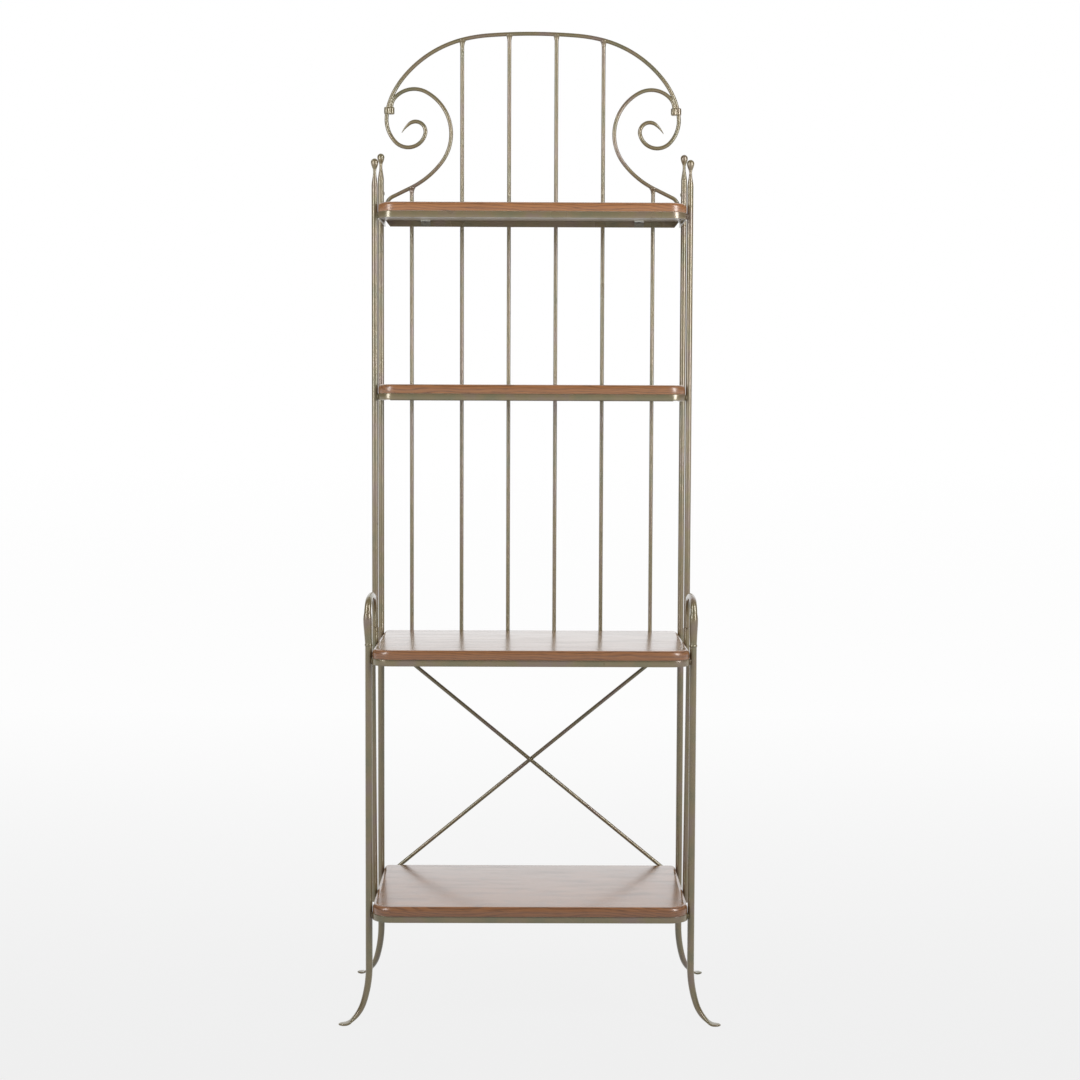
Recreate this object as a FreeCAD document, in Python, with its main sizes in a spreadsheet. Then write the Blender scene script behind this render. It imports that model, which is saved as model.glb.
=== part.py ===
import FreeCAD, Part
import Sketcher
import math
import os

# Bakers rack: steel bar frame, four oak shelves, scrolled crown.
# +X is the rack's right, -Y its front, +Z up. The origin is on the floor, under the middle of the rack.

Vector = FreeCAD.Vector
UP = Vector(0, 0, 1)
DOWN = Vector(0, 0, -1)
RIGHT = Vector(1, 0, 0)
BACK = Vector(0, 1, 0)
SIDES = (("left", -1), ("right", 1))

SIZES = [
    # frame bars
    ("post_radius", 6.35, "half-inch round bar of the upper posts and the stays"),
    ("leg_radius", 7, "heavier round bar of the legs"),
    ("post_x", 322, "posts stand this far either side of the middle"),
    ("rear_y", 170, "rear posts"),
    ("leg_y", -164, "front legs"),
    ("upper_y", -2, "upper front posts"),
    ("weld_bite", 0.05, "welded bars bite into each other by this much"),
    ("rear_top", 1719, "top of the rear posts, where the finials start"),
    ("upper_top", 1687, "top of the upper front posts"),
    ("leg_top", 764, "top of the legs, where crooks and rear posts start"),
    # bend and foot
    ("bend_start", 115.2, "height where a leg starts to curve outward"),
    ("shin_radius", 229.7, "first, gentle bend of a leg"),
    ("shin_turn", 18.3, "its turn in degrees"),
    ("ankle_radius", 74.3, "second bend"),
    ("ankle_turn", 36.3, "its turn in degrees"),
    ("toe_radius", 27.1, "spoon-shaped toe"),
    ("toe_turn", 51.5, "its turn in degrees"),
    ("front_splay", 16.5, "direction of the front feet, degrees from straight sideways"),
    ("rear_splay", 30.9, "the same for the rear feet"),
    ("pad_half_width", 10, "flattened foot, half its width"),
    ("pad_half_height", 1.8, "flattened foot, half its thickness"),

    ("neck_radius", 3.15, "finial neck"),
    ("neck_rise", 26, "height of the taper below the neck"),
    ("hip_radius", 5.8, "where the drop widens into the ball"),
    ("ball_rise", 47, "middle of the ball above the taper's foot"),
    ("ball_radius", 7.7, "finial ball"),
    # shelves
    ("board_half", 315, "half the length of a board"),
    ("board_thick", 19, "oak board"),
    ("board_back", 176.35, "back edge of every board"),
    ("upper_front", -38.65, "front edge of the two upper boards"),
    ("lower_front", -206.4, "front edge of the two lower boards"),
    ("upper_corner", 38, "front corner radius, upper boards"),
    ("lower_corner", 41, "front corner radius, lower boards"),
    ("rear_corner", 11, "rear corner radius of every board"),
    ("edge_round", 8.5, "rolled upper edge"),
    ("shelf_1_top", 1652, "top shelf"),
    ("shelf_2_top", 1283, "second shelf"),
    ("shelf_3_top", 758, "work shelf"),
    ("shelf_4_top", 246, "bottom shelf"),
    ("band_high", 12.7, "flat bar under the boards, on edge"),
    ("band_thick", 3.2, "its thickness"),
    ("band_inset", 2, "band face behind the board's front edge"),
    ("rail_bevel", 10, "how much shorter a back rail's lower edge is at each end"),
    ("clip_x", 227, "board clips either side of the middle"),
    ("clip_width", 20, "board clip"),
    ("clip_thick", 2.4, "board clip sheet"),
    ("clip_reach", 14, "board clip, forward of the rail"),
    ("screw_radius", 3.6, "screw head under the clip"),
    ("screw_high", 2.2, "its height"),
    # back bars
    ("rod_radius", 4.2, "spindles, scrolls and brace rods"),
    ("arch_bar", 4.3, "radius of the arch's bar"),
    ("spindle_inner", 50, "innermost pair of spindles"),
    ("spindle_middle", 150, "next pair"),
    ("spindle_outer", 257, "short outer pair"),
    ("crown_top", 2027.7, "middle of the arch's bar at the top"),
    ("crown_1_radius", 1203, "flat middle of the arch"),
    ("crown_1_turn", 4.5, "degrees of that bend"),
    ("crown_2_radius", 328, "start of its shoulder"),
    ("crown_2_turn", 8.9, "degrees of that bend"),
    ("crown_3_radius", 240, "shoulder"),
    ("crown_3_turn", 37.8, "degrees of that bend"),
    ("crown_4_radius", 175.5, "lower shoulder"),
    ("crown_4_turn", 13.3, "degrees of that bend"),
    ("crown_5_radius", 136, "into the collar"),
    ("crown_5_turn", 20, "degrees of that bend"),
    ("crown_6_radius", 68, "out of the collar"),
    ("crown_6_turn", 48.7, "degrees of that bend"),
    ("crown_7_radius", 37.5, "underside of the curl"),
    ("crown_7_turn", 122.5, "degrees of that bend"),
    ("crown_8_radius", 21, "inside of the curl"),
    ("crown_8_turn", 115, "degrees of that bend"),
    ("curl_neck_turn", 29.8, "last degrees of that bend, where the taper starts"),
    ("curl_tip_radius", 74, "nearly straight drawn-out point"),
    ("curl_tip_turn", 19.2, "its turn in degrees"),
    ("curl_point", 0.6, "radius of the bar at the very point"),
    ("scroll_start_z", 1857, "lower end of the scroll in its collar"),
    ("scroll_start_x", 300.4, "scroll beside the arch in the collar"),
    ("scroll_1_radius", 31.4, "scroll leaving the collar"),
    ("scroll_1_turn", 42.6, "degrees of that bend"),
    ("scroll_2_radius", 54.7, "over its top"),
    ("scroll_2_turn", 75.2, "degrees of that bend"),
    ("scroll_3_radius", 99.2, "down its inner side"),
    ("scroll_3_turn", 99.8, "degrees of that bend"),
    ("scroll_4_radius", 186, "towards the rear post"),
    ("scroll_4_turn", 26.2, "degrees of that bend"),
    ("scroll_run", 43.5, "straight run above the top shelf"),
    ("scroll_heel_radius", 22, "bend back down at its end"),
    ("scroll_heel_turn", 37, "degrees of that bend"),
    ("scroll_foot", 30, "straight end, welded behind the rear post"),
    ("scroll_stem", 15, "straight start inside the collar"),
    ("collar_z", 1865, "middle of the collar"),
    ("collar_high", 14.5, "its height"),
    ("collar_wall", 2.6, "its least wall round the bars"),
    ("weld_high", 9, "weld cone under the crown bars at each spindle"),
    ("weld_flare", 2.4, "how far it spreads at the bar"),
    # crook
    ("crook_stem", 66, "straight start above the leg"),
    ("crook_knot", 8.4, "radius at the swelling of the front limb"),
    ("crook_1_radius", 24, "tight bend at the front"),
    ("crook_1_turn", 80, "its turn in degrees"),
    ("crook_2_radius", 226, "nearly level back"),
    ("crook_2_turn", 25, "its turn in degrees"),
    ("crook_3_radius", 45, "bend down in front of the upper post"),
    ("crook_3_turn", 75, "its turn in degrees"),
    ("crook_tail", 20, "straight end, welded to the upper post"),
    ("crook_tip", 4.8, "radius of that end"),

    ("stay_top_y", -75, "raked stay at the work shelf's band"),
    ("stay_foot_y", -26, "raked stay at the bottom shelf's band"),
    ("brace_high", 739, "brace rods on the rear posts, upper ends"),
    ("brace_low", 211, "brace rods, lower ends"),
]


def driving_sheet(doc):
    """The spreadsheet of driving dimensions: name, value, what it is."""
    sheet = doc.addObject("Spreadsheet::Sheet", "Sizes")
    for row, (alias, value, note) in enumerate(SIZES, start=1):
        sheet.set("A%d" % row, alias)
        sheet.set("B%d" % row, str(value))
        sheet.set("C%d" % row, note)
        sheet.setAlias("B%d" % row, alias)
    doc.recompute()
    return sheet


def size(doc, expression):
    """The number an expression on the sheet's names gives, such as 'board_half - weld_bite'."""
    return float(doc.Sizes.evalExpression(expression))


def bind(feature, **expressions):
    """Bind properties of a feature to expressions on the sheet's names."""
    for prop, expression in expressions.items():
        feature.setExpression(prop, sheet_expression(expression))


def sheet_expression(expression):
    """The expression with each sheet name written as another object sees it."""
    words = {alias for alias, value, note in SIZES}
    out, word = "", ""
    for sign in expression + " ":
        if sign.isalnum() or sign == "_":
            word += sign
            continue
        out += ("Sizes." + word if word in words else word) + sign
        word = ""
    return out.strip()


def part(doc, kind, name, **expressions):
    """A Part primitive with its sizes bound to the sheet."""
    piece = doc.addObject("Part::" + kind, name)
    bind(piece, **expressions)
    return piece


def boolean(doc, kind, name, base, tool):
    piece = doc.addObject("Part::" + kind, name)
    piece.Base = base
    piece.Tool = tool
    return piece


def together(doc, kind, name, pieces):
    """A MultiFuse (its list is Shapes) or a Compound (its list is Links) of several pieces."""
    group = doc.addObject("Part::" + kind, name)
    if kind == "Compound":
        group.Links = pieces
    else:
        group.Shapes = pieces
    return group


def axes(origin, x_axis, y_axis):
    return FreeCAD.Placement(origin, FreeCAD.Rotation(x_axis, y_axis, x_axis.cross(y_axis), "XYZ"))


# ---------------------------------------------------------------- bodies with sketches

def new_body(doc, name):
    return doc.addObject("PartDesign::Body", name)


def sketch_on(body, role, name):
    """A sketch on one of the body's own origin planes."""
    sketch = body.newObject("Sketcher::SketchObject", name)
    plane = [f for f in body.Origin.OriginFeatures if f.Role == role][0]
    sketch.AttachmentSupport = [(plane, "")]
    sketch.MapMode = "FlatFace"
    return sketch


def polygon(sketch, corners):
    """A closed outline of straight lines. Each corner is a pair of expressions, bound to the sheet."""
    doc = sketch.Document
    spots = [Vector(size(doc, a), size(doc, b), 0) for a, b in corners]
    count = len(spots)
    for k in range(count):
        sketch.addGeometry(Part.LineSegment(spots[k], spots[(k + 1) % count]), False)
    for k in range(count):
        sketch.addConstraint(Sketcher.Constraint("Coincident", k, 2, (k + 1) % count, 1))
    for k, (a, b) in enumerate(corners):
        for kind, value, expression in (("DistanceX", spots[k].x, a), ("DistanceY", spots[k].y, b)):
            index = sketch.addConstraint(Sketcher.Constraint(kind, -1, 1, k, 1, value))
            sketch.setExpression("Constraints[%d]" % index, sheet_expression(expression))


def rectangle(sketch, x_low, x_high, y_low, y_high):
    polygon(sketch, [(x_low, y_low), (x_high, y_low), (x_high, y_high), (x_low, y_high)])


def pad(body, sketch, length, name):
    feature = body.newObject("PartDesign::Pad", name)
    feature.Profile = sketch
    bind(feature, Length=length)
    sketch.Visibility = False
    return feature


def round_edges(body, base, radius, name, wanted):
    """A fillet on the edges of base whose middle passes the test."""
    body.Document.recompute()
    names = ["Edge%d" % k for k, edge in enumerate(base.Shape.Edges, start=1) if wanted(edge)]
    feature = body.newObject("PartDesign::Fillet", name)
    feature.Base = (base, names)
    bind(feature, Radius=radius)
    return feature


def upright(edge):
    box = edge.BoundBox
    return box.XLength < 0.01 and box.YLength < 0.01


def board(doc, number, front, corner):
    """Oak board: plain plank, corners rounded in plan, upper edge rolled all round."""
    name = "shelf_%d_board" % number
    body = new_body(doc, name)
    outline = sketch_on(body, "XY_Plane", name + "_outline")
    rectangle(outline, "-board_half", "board_half", front, "board_back")
    plank = pad(body, outline, "board_thick", name + "_plank")
    middle = (size(doc, front) + size(doc, "board_back")) / 2
    fronts = round_edges(body, plank, corner, name + "_front_corners",
                         lambda edge: upright(edge) and edge.CenterOfMass.y < middle)
    backs = round_edges(body, fronts, "rear_corner", name + "_rear_corners",
                        lambda edge: upright(edge) and edge.CenterOfMass.y > size(doc, "board_back - 1"))
    top = size(doc, "board_thick") - 0.01
    round_edges(body, backs, "edge_round", name + "_rolled_edge", lambda edge: edge.BoundBox.ZMin > top)
    bind(body, **{"Placement.Base.z": "shelf_%d_top - board_thick" % number})
    return body


def band(doc, number, front, corner):
    """Flat bar on edge, bent round the front and both sides of a shelf."""
    name = "shelf_%d_band" % number
    body = new_body(doc, name)
    outer = "post_x - post_radius + weld_bite"
    face = front + " + band_inset"
    outline = sketch_on(body, "XY_Plane", name + "_outline")
    rectangle(outline, "-(%s)" % outer, outer, face, "board_back")
    block = pad(body, outline, "band_high", name + "_block")
    hollow = sketch_on(body, "XY_Plane", name + "_inside")
    rectangle(hollow, "-(%s - band_thick)" % outer, outer + " - band_thick",
              face + " + band_thick", "board_back + 5")
    pocket = body.newObject("PartDesign::Pocket", name + "_hollow")
    pocket.Profile = hollow
    pocket.Type = "ThroughAll"
    pocket.Reversed = True
    hollow.Visibility = False
    inner = size(doc, face + " + band_thick")
    bent = round_edges(body, pocket, corner + " - band_inset - band_thick", name + "_inner_corners",
                       lambda edge: upright(edge) and abs(edge.CenterOfMass.y - inner) < 0.1)
    round_edges(body, bent, corner + " - band_inset", name + "_corners",
                lambda edge: upright(edge) and abs(edge.CenterOfMass.y - size(doc, face)) < 0.1)
    bind(body, **{"Placement.Base.z": "shelf_%d_top - board_thick - band_high" % number})
    return body


def back_rail(doc, number):
    """Flat bar on edge under the board's back edge; its ends slope in towards the bottom."""
    name = "shelf_%d_back_rail" % number
    body = new_body(doc, name)
    outline = sketch_on(body, "XZ_Plane", name + "_outline")
    reach = "post_x - post_radius + weld_bite - band_thick"
    low = "shelf_%d_top - board_thick - band_high" % number
    high = "shelf_%d_top - board_thick" % number
    polygon(outline, [("-(%s - rail_bevel)" % reach, low), ("%s - rail_bevel" % reach, low),
                      (reach, high), ("-(%s)" % reach, high)])
    pad(body, outline, "band_thick", name + "_bar")
    bind(body, **{"Placement.Base.y": "board_back"})
    return body


def clips(doc, number):
    """Two angle clips in front of a back rail: one leg on the rail, one flat under the board."""
    name = "shelf_%d_clips" % number
    pieces = []
    for side, sign in SIDES:
        body = new_body(doc, "%s_%s" % (name, side))
        outline = sketch_on(body, "YZ_Plane", "%s_%s_outline" % (name, side))
        back = "board_back - band_thick"
        top = "shelf_%d_top - board_thick" % number
        polygon(outline, [(back, top), (back, top + " - band_high + 1"),
                          (back + " - clip_thick", top + " - band_high + 1"),
                          (back + " - clip_thick", top + " - clip_thick"),
                          (back + " - clip_reach", top + " - clip_thick"),
                          (back + " - clip_reach", top)])
        angle = pad(body, outline, "clip_width", "%s_%s_angle" % (name, side))
        angle.SideType = "Symmetric"
        bind(body, **{"Placement.Base.x": "%d * clip_x" % sign})
        pieces.append(body)
    return together(doc, "Compound", name, pieces)


def clip_screws(doc):
    """One pan head under each clip."""
    heads = []
    under_clip = "shelf_%d_top - board_thick - clip_thick - screw_high"
    for number in (1, 2, 3, 4):
        for side, sign in SIDES:
            head = part(doc, "Cylinder", "screw_%d_%s" % (number, side),
                        Radius="screw_radius", Height="screw_high")
            bind(head, **{"Placement.Base.x": "%d * clip_x" % sign,
                          "Placement.Base.y": "board_back - band_thick - clip_reach / 2 - clip_thick / 2",
                          "Placement.Base.z": under_clip % number})
            heads.append(head)
    return together(doc, "Compound", "clip_screws", heads)


def finial(doc, name, y, base):
    """Turned cap: the bar's taper, a neck and a ball."""
    body = new_body(doc, name)
    sketch = sketch_on(body, "XZ_Plane", name + "_profile")
    ball, neck, rise, bar, hip, middle = [
        size(doc, word) for word in ("ball_radius", "neck_radius", "neck_rise", "post_radius",
                                     "hip_radius", "ball_rise")]
    hip_spot = Vector(hip, middle - math.sqrt(ball ** 2 - hip ** 2), 0)
    circle = Part.Circle(Vector(0, middle, 0), UP, ball)
    sketch.addGeometry(Part.LineSegment(Vector(0, 0, 0), Vector(bar, 0, 0)), False)
    sketch.addGeometry(Part.LineSegment(Vector(bar, 0, 0), Vector(neck, rise, 0)), False)
    sketch.addGeometry(Part.LineSegment(Vector(neck, rise, 0), hip_spot), False)
    sketch.addGeometry(Part.ArcOfCircle(circle, -math.acos(hip / ball), math.pi / 2), False)
    sketch.addGeometry(Part.LineSegment(Vector(0, middle + ball, 0), Vector(0, 0, 0)), False)
    for k in range(5):
        sketch.addConstraint(Sketcher.Constraint("Coincident", k, 2, (k + 1) % 5, 1))
    sketch.addConstraint(Sketcher.Constraint("Coincident", 0, 1, -1, 1))
    sketch.addConstraint(Sketcher.Constraint("PointOnObject", 0, 2, -1))
    sketch.addConstraint(Sketcher.Constraint("PointOnObject", 3, 3, -2))
    sketch.addConstraint(Sketcher.Constraint("PointOnObject", 4, 1, -2))
    for kind, geometry, point, value, expression in (("DistanceX", 0, 2, bar, "post_radius"),
                                                     ("DistanceX", 1, 2, neck, "neck_radius"),
                                                     ("DistanceY", 1, 2, rise, "neck_rise"),
                                                     ("DistanceX", 2, 2, hip, "hip_radius"),
                                                     ("DistanceY", 3, 3, middle, "ball_rise")):
        index = sketch.addConstraint(Sketcher.Constraint(kind, -1, 1, geometry, point, value))
        sketch.setExpression("Constraints[%d]" % index, sheet_expression(expression))
    index = sketch.addConstraint(Sketcher.Constraint("Radius", 3, ball))
    sketch.setExpression("Constraints[%d]" % index, sheet_expression("ball_radius"))
    turned = body.newObject("PartDesign::Revolution", name + "_turned")
    turned.Profile = sketch
    turned.ReferenceAxis = (sketch, ["V_Axis"])
    turned.Angle = 360
    sketch.Visibility = False
    side = -1 if name.endswith("left") else 1
    bind(body, **{"Placement.Base.x": "%d * post_x" % side, "Placement.Base.y": y, "Placement.Base.z": base})
    return body


# ---------------------------------------------------------------- bars bent along runs and arcs

def straight(doc, name, radius, length, start, direction):
    """A straight stretch of round bar."""
    bar = part(doc, "Cylinder", name, Radius=radius, Height=length)
    bar.Placement = FreeCAD.Placement(start, FreeCAD.Rotation(UP, direction))
    return bar


def follow(start, direction, side, radius, turn):
    """Where an arc of this radius and turn leads: the new point, direction and turning side."""
    angle = math.radians(turn)
    point = start + side * (radius * (1 - math.cos(angle))) + direction * (radius * math.sin(angle))
    ahead = direction * math.cos(angle) + side * math.sin(angle)
    inward = side * math.cos(angle) - direction * math.sin(angle)
    return point, ahead, inward


def bent_bar(doc, name, bar, start, direction, side, bends):
    """Arcs of round bar, end to end; each bend is a pair of sheet names, radius and turn.

    Gives the pieces and the state at the end: point, direction and turning side."""
    pieces = []
    for number, (radius, turn) in enumerate(bends, start=1):
        arc = part(doc, "Torus", "%s_bend_%d" % (name, number), Radius1=radius, Radius2=bar, Angle3=turn)
        centre = start + side * size(doc, radius)
        arc.Placement = axes(centre, side * -1, direction)
        pieces.append(arc)
        start, direction, side = follow(start, direction, side, size(doc, radius), size(doc, turn))
    return pieces, (start, direction, side)


def lofted(doc, name, sections):
    """A solid through closed sections."""
    loft = doc.addObject("Part::Loft", name)
    loft.Sections = sections
    loft.Solid = True
    loft.Ruled = False
    return loft


def circle_across(doc, name, radius, point, direction):
    """A circle square to the bar's direction."""
    ring = part(doc, "Circle", name, Radius=radius)
    ring.Placement = FreeCAD.Placement(point, FreeCAD.Rotation(UP, direction))
    return ring


def oval_across(doc, name, half_width, half_height, point, direction, sideways):
    """An ellipse square to the bar's direction, its long axis level."""
    oval = part(doc, "Ellipse", name, MajorRadius=half_width, MinorRadius=half_height)
    oval.Placement = axes(point, sideways, direction.cross(sideways))
    return oval


def leg_spot(doc, sign, row):
    """Middle of a leg in plan. Its inner side lines up with the upper posts, its back with the rear posts."""
    thicker = size(doc, "leg_radius - post_radius")
    y = size(doc, "leg_y") if row == "front" else size(doc, "rear_y") - thicker
    return Vector(sign * (size(doc, "post_x") + thicker), y, 0)


def leg(doc, name, sign, row):
    """Straight part of a leg, of the heavier bar."""
    start = leg_spot(doc, sign, row) + UP * size(doc, "bend_start")
    return straight(doc, name, "leg_radius", "leg_top - bend_start", start, UP)


def rear_post(doc, name, sign):
    """Rear leg with the lighter upper post welded on its top, one piece up to the finial."""
    lower = leg(doc, name + "_leg", sign, "rear")
    start = Vector(sign * size(doc, "post_x"), size(doc, "rear_y"), size(doc, "leg_top"))
    upper = straight(doc, name + "_upper", "post_radius", "rear_top - leg_top", start, UP)
    return boolean(doc, "Fuse", name, lower, upper)


def foot(doc, name, sign, row):
    """Forged end of a leg: it curves outward, thins, spreads into a spoon and rests flat on the floor."""
    point = leg_spot(doc, sign, row) + UP * size(doc, "bend_start")
    angle = math.radians(size(doc, row + "_splay"))
    side = Vector(sign * math.cos(angle), math.sin(angle) * (-1 if row == "front" else 1), 0)
    direction = DOWN
    sideways = direction.cross(side)
    shank = [("shin", [(0, "leg_radius", "leg_radius - 0.01"),
                       (0.5, "leg_radius", "leg_radius - 0.5"),
                       (1, "leg_radius + 0.2", "leg_radius - 1.1")]),
             ("ankle", [(0.5, "leg_radius + 0.6", "leg_radius - 1.9"),
                        (1, "pad_half_width - 1.4", "pad_half_height + 1.7")])]
    spoon = [("toe", [(0, "pad_half_width - 1.4", "pad_half_height + 1.7"),
                      (0.25, "pad_half_width - 0.5", "pad_half_height + 0.8"),
                      (0.5, "pad_half_width", "pad_half_height + 0.1"),
                      (0.75, "pad_half_width * 0.9", "pad_half_height"),
                      (1, "pad_half_width * 0.55", "pad_half_height * 0.75")])]
    forged = []
    for part_name, stretches in (("shank", shank), ("spoon", spoon)):
        ovals = []
        for word, sections in stretches:
            radius, turn = size(doc, word + "_radius"), size(doc, word + "_turn")
            for share, wide, high in sections:
                spot = follow(point, direction, side, radius, share * turn)
                ovals.append(oval_across(doc, "%s_%s_oval_%d" % (name, part_name, len(ovals) + 1),
                                         wide, high, spot[0], spot[1], sideways))
            point, direction, side = follow(point, direction, side, radius, turn)
        forged.append(lofted(doc, "%s_%s" % (name, part_name), ovals))
    whole = together(doc, "MultiFuse", name + "_forged", forged)
    floor = part(doc, "Box", name + "_floor")
    floor.Length = 80
    floor.Width = 80
    floor.Height = 20
    floor.Placement.Base = Vector(point.x - 40, point.y - 40, -20)
    return boolean(doc, "Cut", name, whole, floor)


def upper_post(doc, name, sign):
    foot_end = "(shelf_3_top - board_thick - band_high)"
    start = Vector(sign * size(doc, "post_x"), size(doc, "upper_y"), size(doc, foot_end))
    return straight(doc, name, "post_radius", "upper_top - " + foot_end, start, UP)


def stay(doc, name, sign):
    """Raked bar beside the frame, from the bottom shelf's band up to the work shelf's."""
    x = sign * size(doc, "post_x")
    foot_end = Vector(x, size(doc, "stay_foot_y"), size(doc, "shelf_4_top - board_thick - band_high"))
    head_end = Vector(x, size(doc, "stay_top_y"), size(doc, "shelf_3_top - board_thick"))
    rise = "(shelf_3_top - shelf_4_top + band_high)"
    length = "sqrt((stay_top_y - stay_foot_y) ^ 2 + %s ^ 2)" % rise
    return straight(doc, name, "post_radius", length, foot_end, (head_end - foot_end).normalize())


def tapered_bends(doc, name, rings, start, direction, side, stretches):
    """A loft along arcs. Each stretch is a radius, a turn and the bar's radius at equal steps along it.

    Rings holds the sections that come before the arcs. Gives the solid and its end point."""
    for radius, turn, bars in stretches:
        for step, bar in enumerate(bars, start=1):
            spot = follow(start, direction, side, size(doc, radius), size(doc, turn) * step / len(bars))
            rings.append((bar, spot[0], spot[1]))
        start, direction, side = follow(start, direction, side, size(doc, radius), size(doc, turn))
    circles = [circle_across(doc, "%s_ring_%d" % (name, k), bar, spot, way)
               for k, (bar, spot, way) in enumerate(rings, start=1)]
    return lofted(doc, name, circles), start


def crook(doc, name, sign):
    """Tapered top of a front leg: up, a swelling, back in a flat arch, down to a blunt end at the post."""
    point = leg_spot(doc, sign, "front") + UP * size(doc, "leg_top")
    stem = size(doc, "crook_stem")
    swelling = ["leg_radius", "leg_radius + 0.4", "leg_radius + 0.9", "crook_knot", "leg_radius"]
    rings = [(bar, point + UP * (stem * k / 4), UP) for k, bar in enumerate(swelling)]
    stretches = [("crook_1_radius", "crook_1_turn", ["leg_radius - 0.2", "leg_radius - 0.5"]),
                 ("crook_2_radius", "crook_2_turn", ["leg_radius - 0.6", "leg_radius - 0.7", "leg_radius - 0.8",
                                                     "leg_radius - 0.9", "leg_radius - 1", "leg_radius - 1.1"]),
                 ("crook_3_radius", "crook_3_turn", ["crook_tip + 0.9", "crook_tip + 0.5", "crook_tip + 0.1",
                                                     "crook_tip - 0.05"])]
    limb, end = tapered_bends(doc, name + "_limb", rings, point + UP * stem, UP, BACK, stretches)
    tail = straight(doc, name + "_tail", "crook_tip", "crook_tail", end, DOWN)
    tip = part(doc, "Sphere", name + "_tip", Radius="crook_tip")
    tip.Placement.Base = end + DOWN * size(doc, "crook_tail")
    return together(doc, "MultiFuse", name, [limb, tail, tip])


# ---------------------------------------------------------------- crown, spindles and brace

def crown_y(doc):
    """Depth of the bars behind the frame: they lie against the back of the posts and rails."""
    return size(doc, "board_back + rod_radius - weld_bite")


def crown_arch(doc):
    """One bar, curved down from the middle to both sides and curled inward to a tapered tip."""
    pieces = []
    top = Vector(0, crown_y(doc), size(doc, "crown_top"))
    bends = [("crown_%d_radius" % k, "crown_%d_turn" % k) for k in range(1, 9)]
    for side_name, sign in SIDES:
        name = "crown_arch_" + side_name
        arcs, end = bent_bar(doc, name, "arch_bar", top, RIGHT * sign, DOWN, bends)
        pieces += arcs + [curl_tip(doc, name, end)]
    return together(doc, "MultiFuse", "crown_arch", pieces)


def curl_tip(doc, name, end):
    """The drawn-out point that ends a curl."""
    point, direction, side = end
    stretches = [("crown_8_radius", "curl_neck_turn", ["arch_bar", "arch_bar * 0.86"]),
                 ("curl_tip_radius", "curl_tip_turn", ["arch_bar * 0.62", "arch_bar * 0.37", "curl_point"])]
    tip, end_point = tapered_bends(doc, name + "_point", [("arch_bar", point, direction)],
                                   point, direction, side, stretches)
    return tip


def crown_scroll(doc, name, sign, arch):
    """Bar from the collar up, over towards the middle, round and down to the back of the rear post.

    Its start lies against the arch and is scarfed to fit it."""
    start = Vector(sign * size(doc, "scroll_start_x"), crown_y(doc), size(doc, "scroll_start_z"))
    stem = straight(doc, name + "_stem", "rod_radius", "scroll_stem", start, UP)
    start = start + UP * size(doc, "scroll_stem")
    bends = [("scroll_%d_radius" % k, "scroll_%d_turn" % k) for k in range(1, 5)]
    arcs, end = bent_bar(doc, name, "rod_radius", start, UP, RIGHT * -sign, bends)
    run = straight(doc, name + "_run", "rod_radius", "scroll_run", end[0], end[1])
    heel_start = end[0] + end[1] * size(doc, "scroll_run")
    heel, end = bent_bar(doc, name + "_heel", "rod_radius", heel_start, end[1], end[2] * -1,
                         [("scroll_heel_radius", "scroll_heel_turn")])
    foot_end = straight(doc, name + "_foot", "rod_radius", "scroll_foot", end[0], end[1])
    bar = together(doc, "MultiFuse", name + "_bar", [stem] + arcs + [run] + heel + [foot_end])
    return boolean(doc, "Cut", name, bar, arch)


def crown_collar(doc, name, sign, arch, scroll):
    """Clamp round the arch and the scroll, bored by both."""
    body = new_body(doc, name + "_block")
    outline = sketch_on(body, "XY_Plane", name + "_outline")
    low = "scroll_start_x - rod_radius - collar_wall"
    high = "scroll_start_x + rod_radius + 2 * arch_bar + collar_wall"
    if sign < 0:
        low, high = "-(%s)" % high, "-(%s)" % low
    middle = "(board_back + rod_radius - weld_bite)"
    rectangle(outline, low, high, middle + " - arch_bar - collar_wall", middle + " + arch_bar + collar_wall")
    block = pad(body, outline, "collar_high", name + "_pad")
    round_edges(body, block, "arch_bar", name + "_corners", upright)
    bind(body, **{"Placement.Base.z": "collar_z - collar_high / 2"})
    over_arch = boolean(doc, "Cut", name + "_over_arch", body, arch)
    return boolean(doc, "Cut", name, over_arch, scroll)


def crown_height(doc, x):
    """Height of the arch's centre line at distance x from the middle, within its first three bends."""
    point = Vector(0, 0, size(doc, "crown_top"))
    direction, side = RIGHT, DOWN
    for k in (1, 2, 3):
        radius = size(doc, "crown_%d_radius" % k)
        after = follow(point, direction, side, radius, size(doc, "crown_%d_turn" % k))
        if after[0].x >= x:
            centre = point + side * radius
            return centre.z + math.sqrt(radius ** 2 - (x - centre.x) ** 2)
        point, direction, side = after
    return point.z


def scroll_height(doc, x):
    """Height of the scroll's foot at distance x from the middle."""
    point = Vector(size(doc, "scroll_start_x"), 0, size(doc, "scroll_start_z + scroll_stem"))
    direction, side = UP, RIGHT * -1
    for k in (1, 2, 3, 4):
        centre = point + side * size(doc, "scroll_%d_radius" % k)
        radius = size(doc, "scroll_%d_radius" % k)
        point, direction, side = follow(point, direction, side, radius, size(doc, "scroll_%d_turn" % k))
    if x > point.x:
        return point.z + direction.z / direction.x * (x - point.x)
    return centre.z - math.sqrt(radius ** 2 - (x - centre.x) ** 2)


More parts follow.
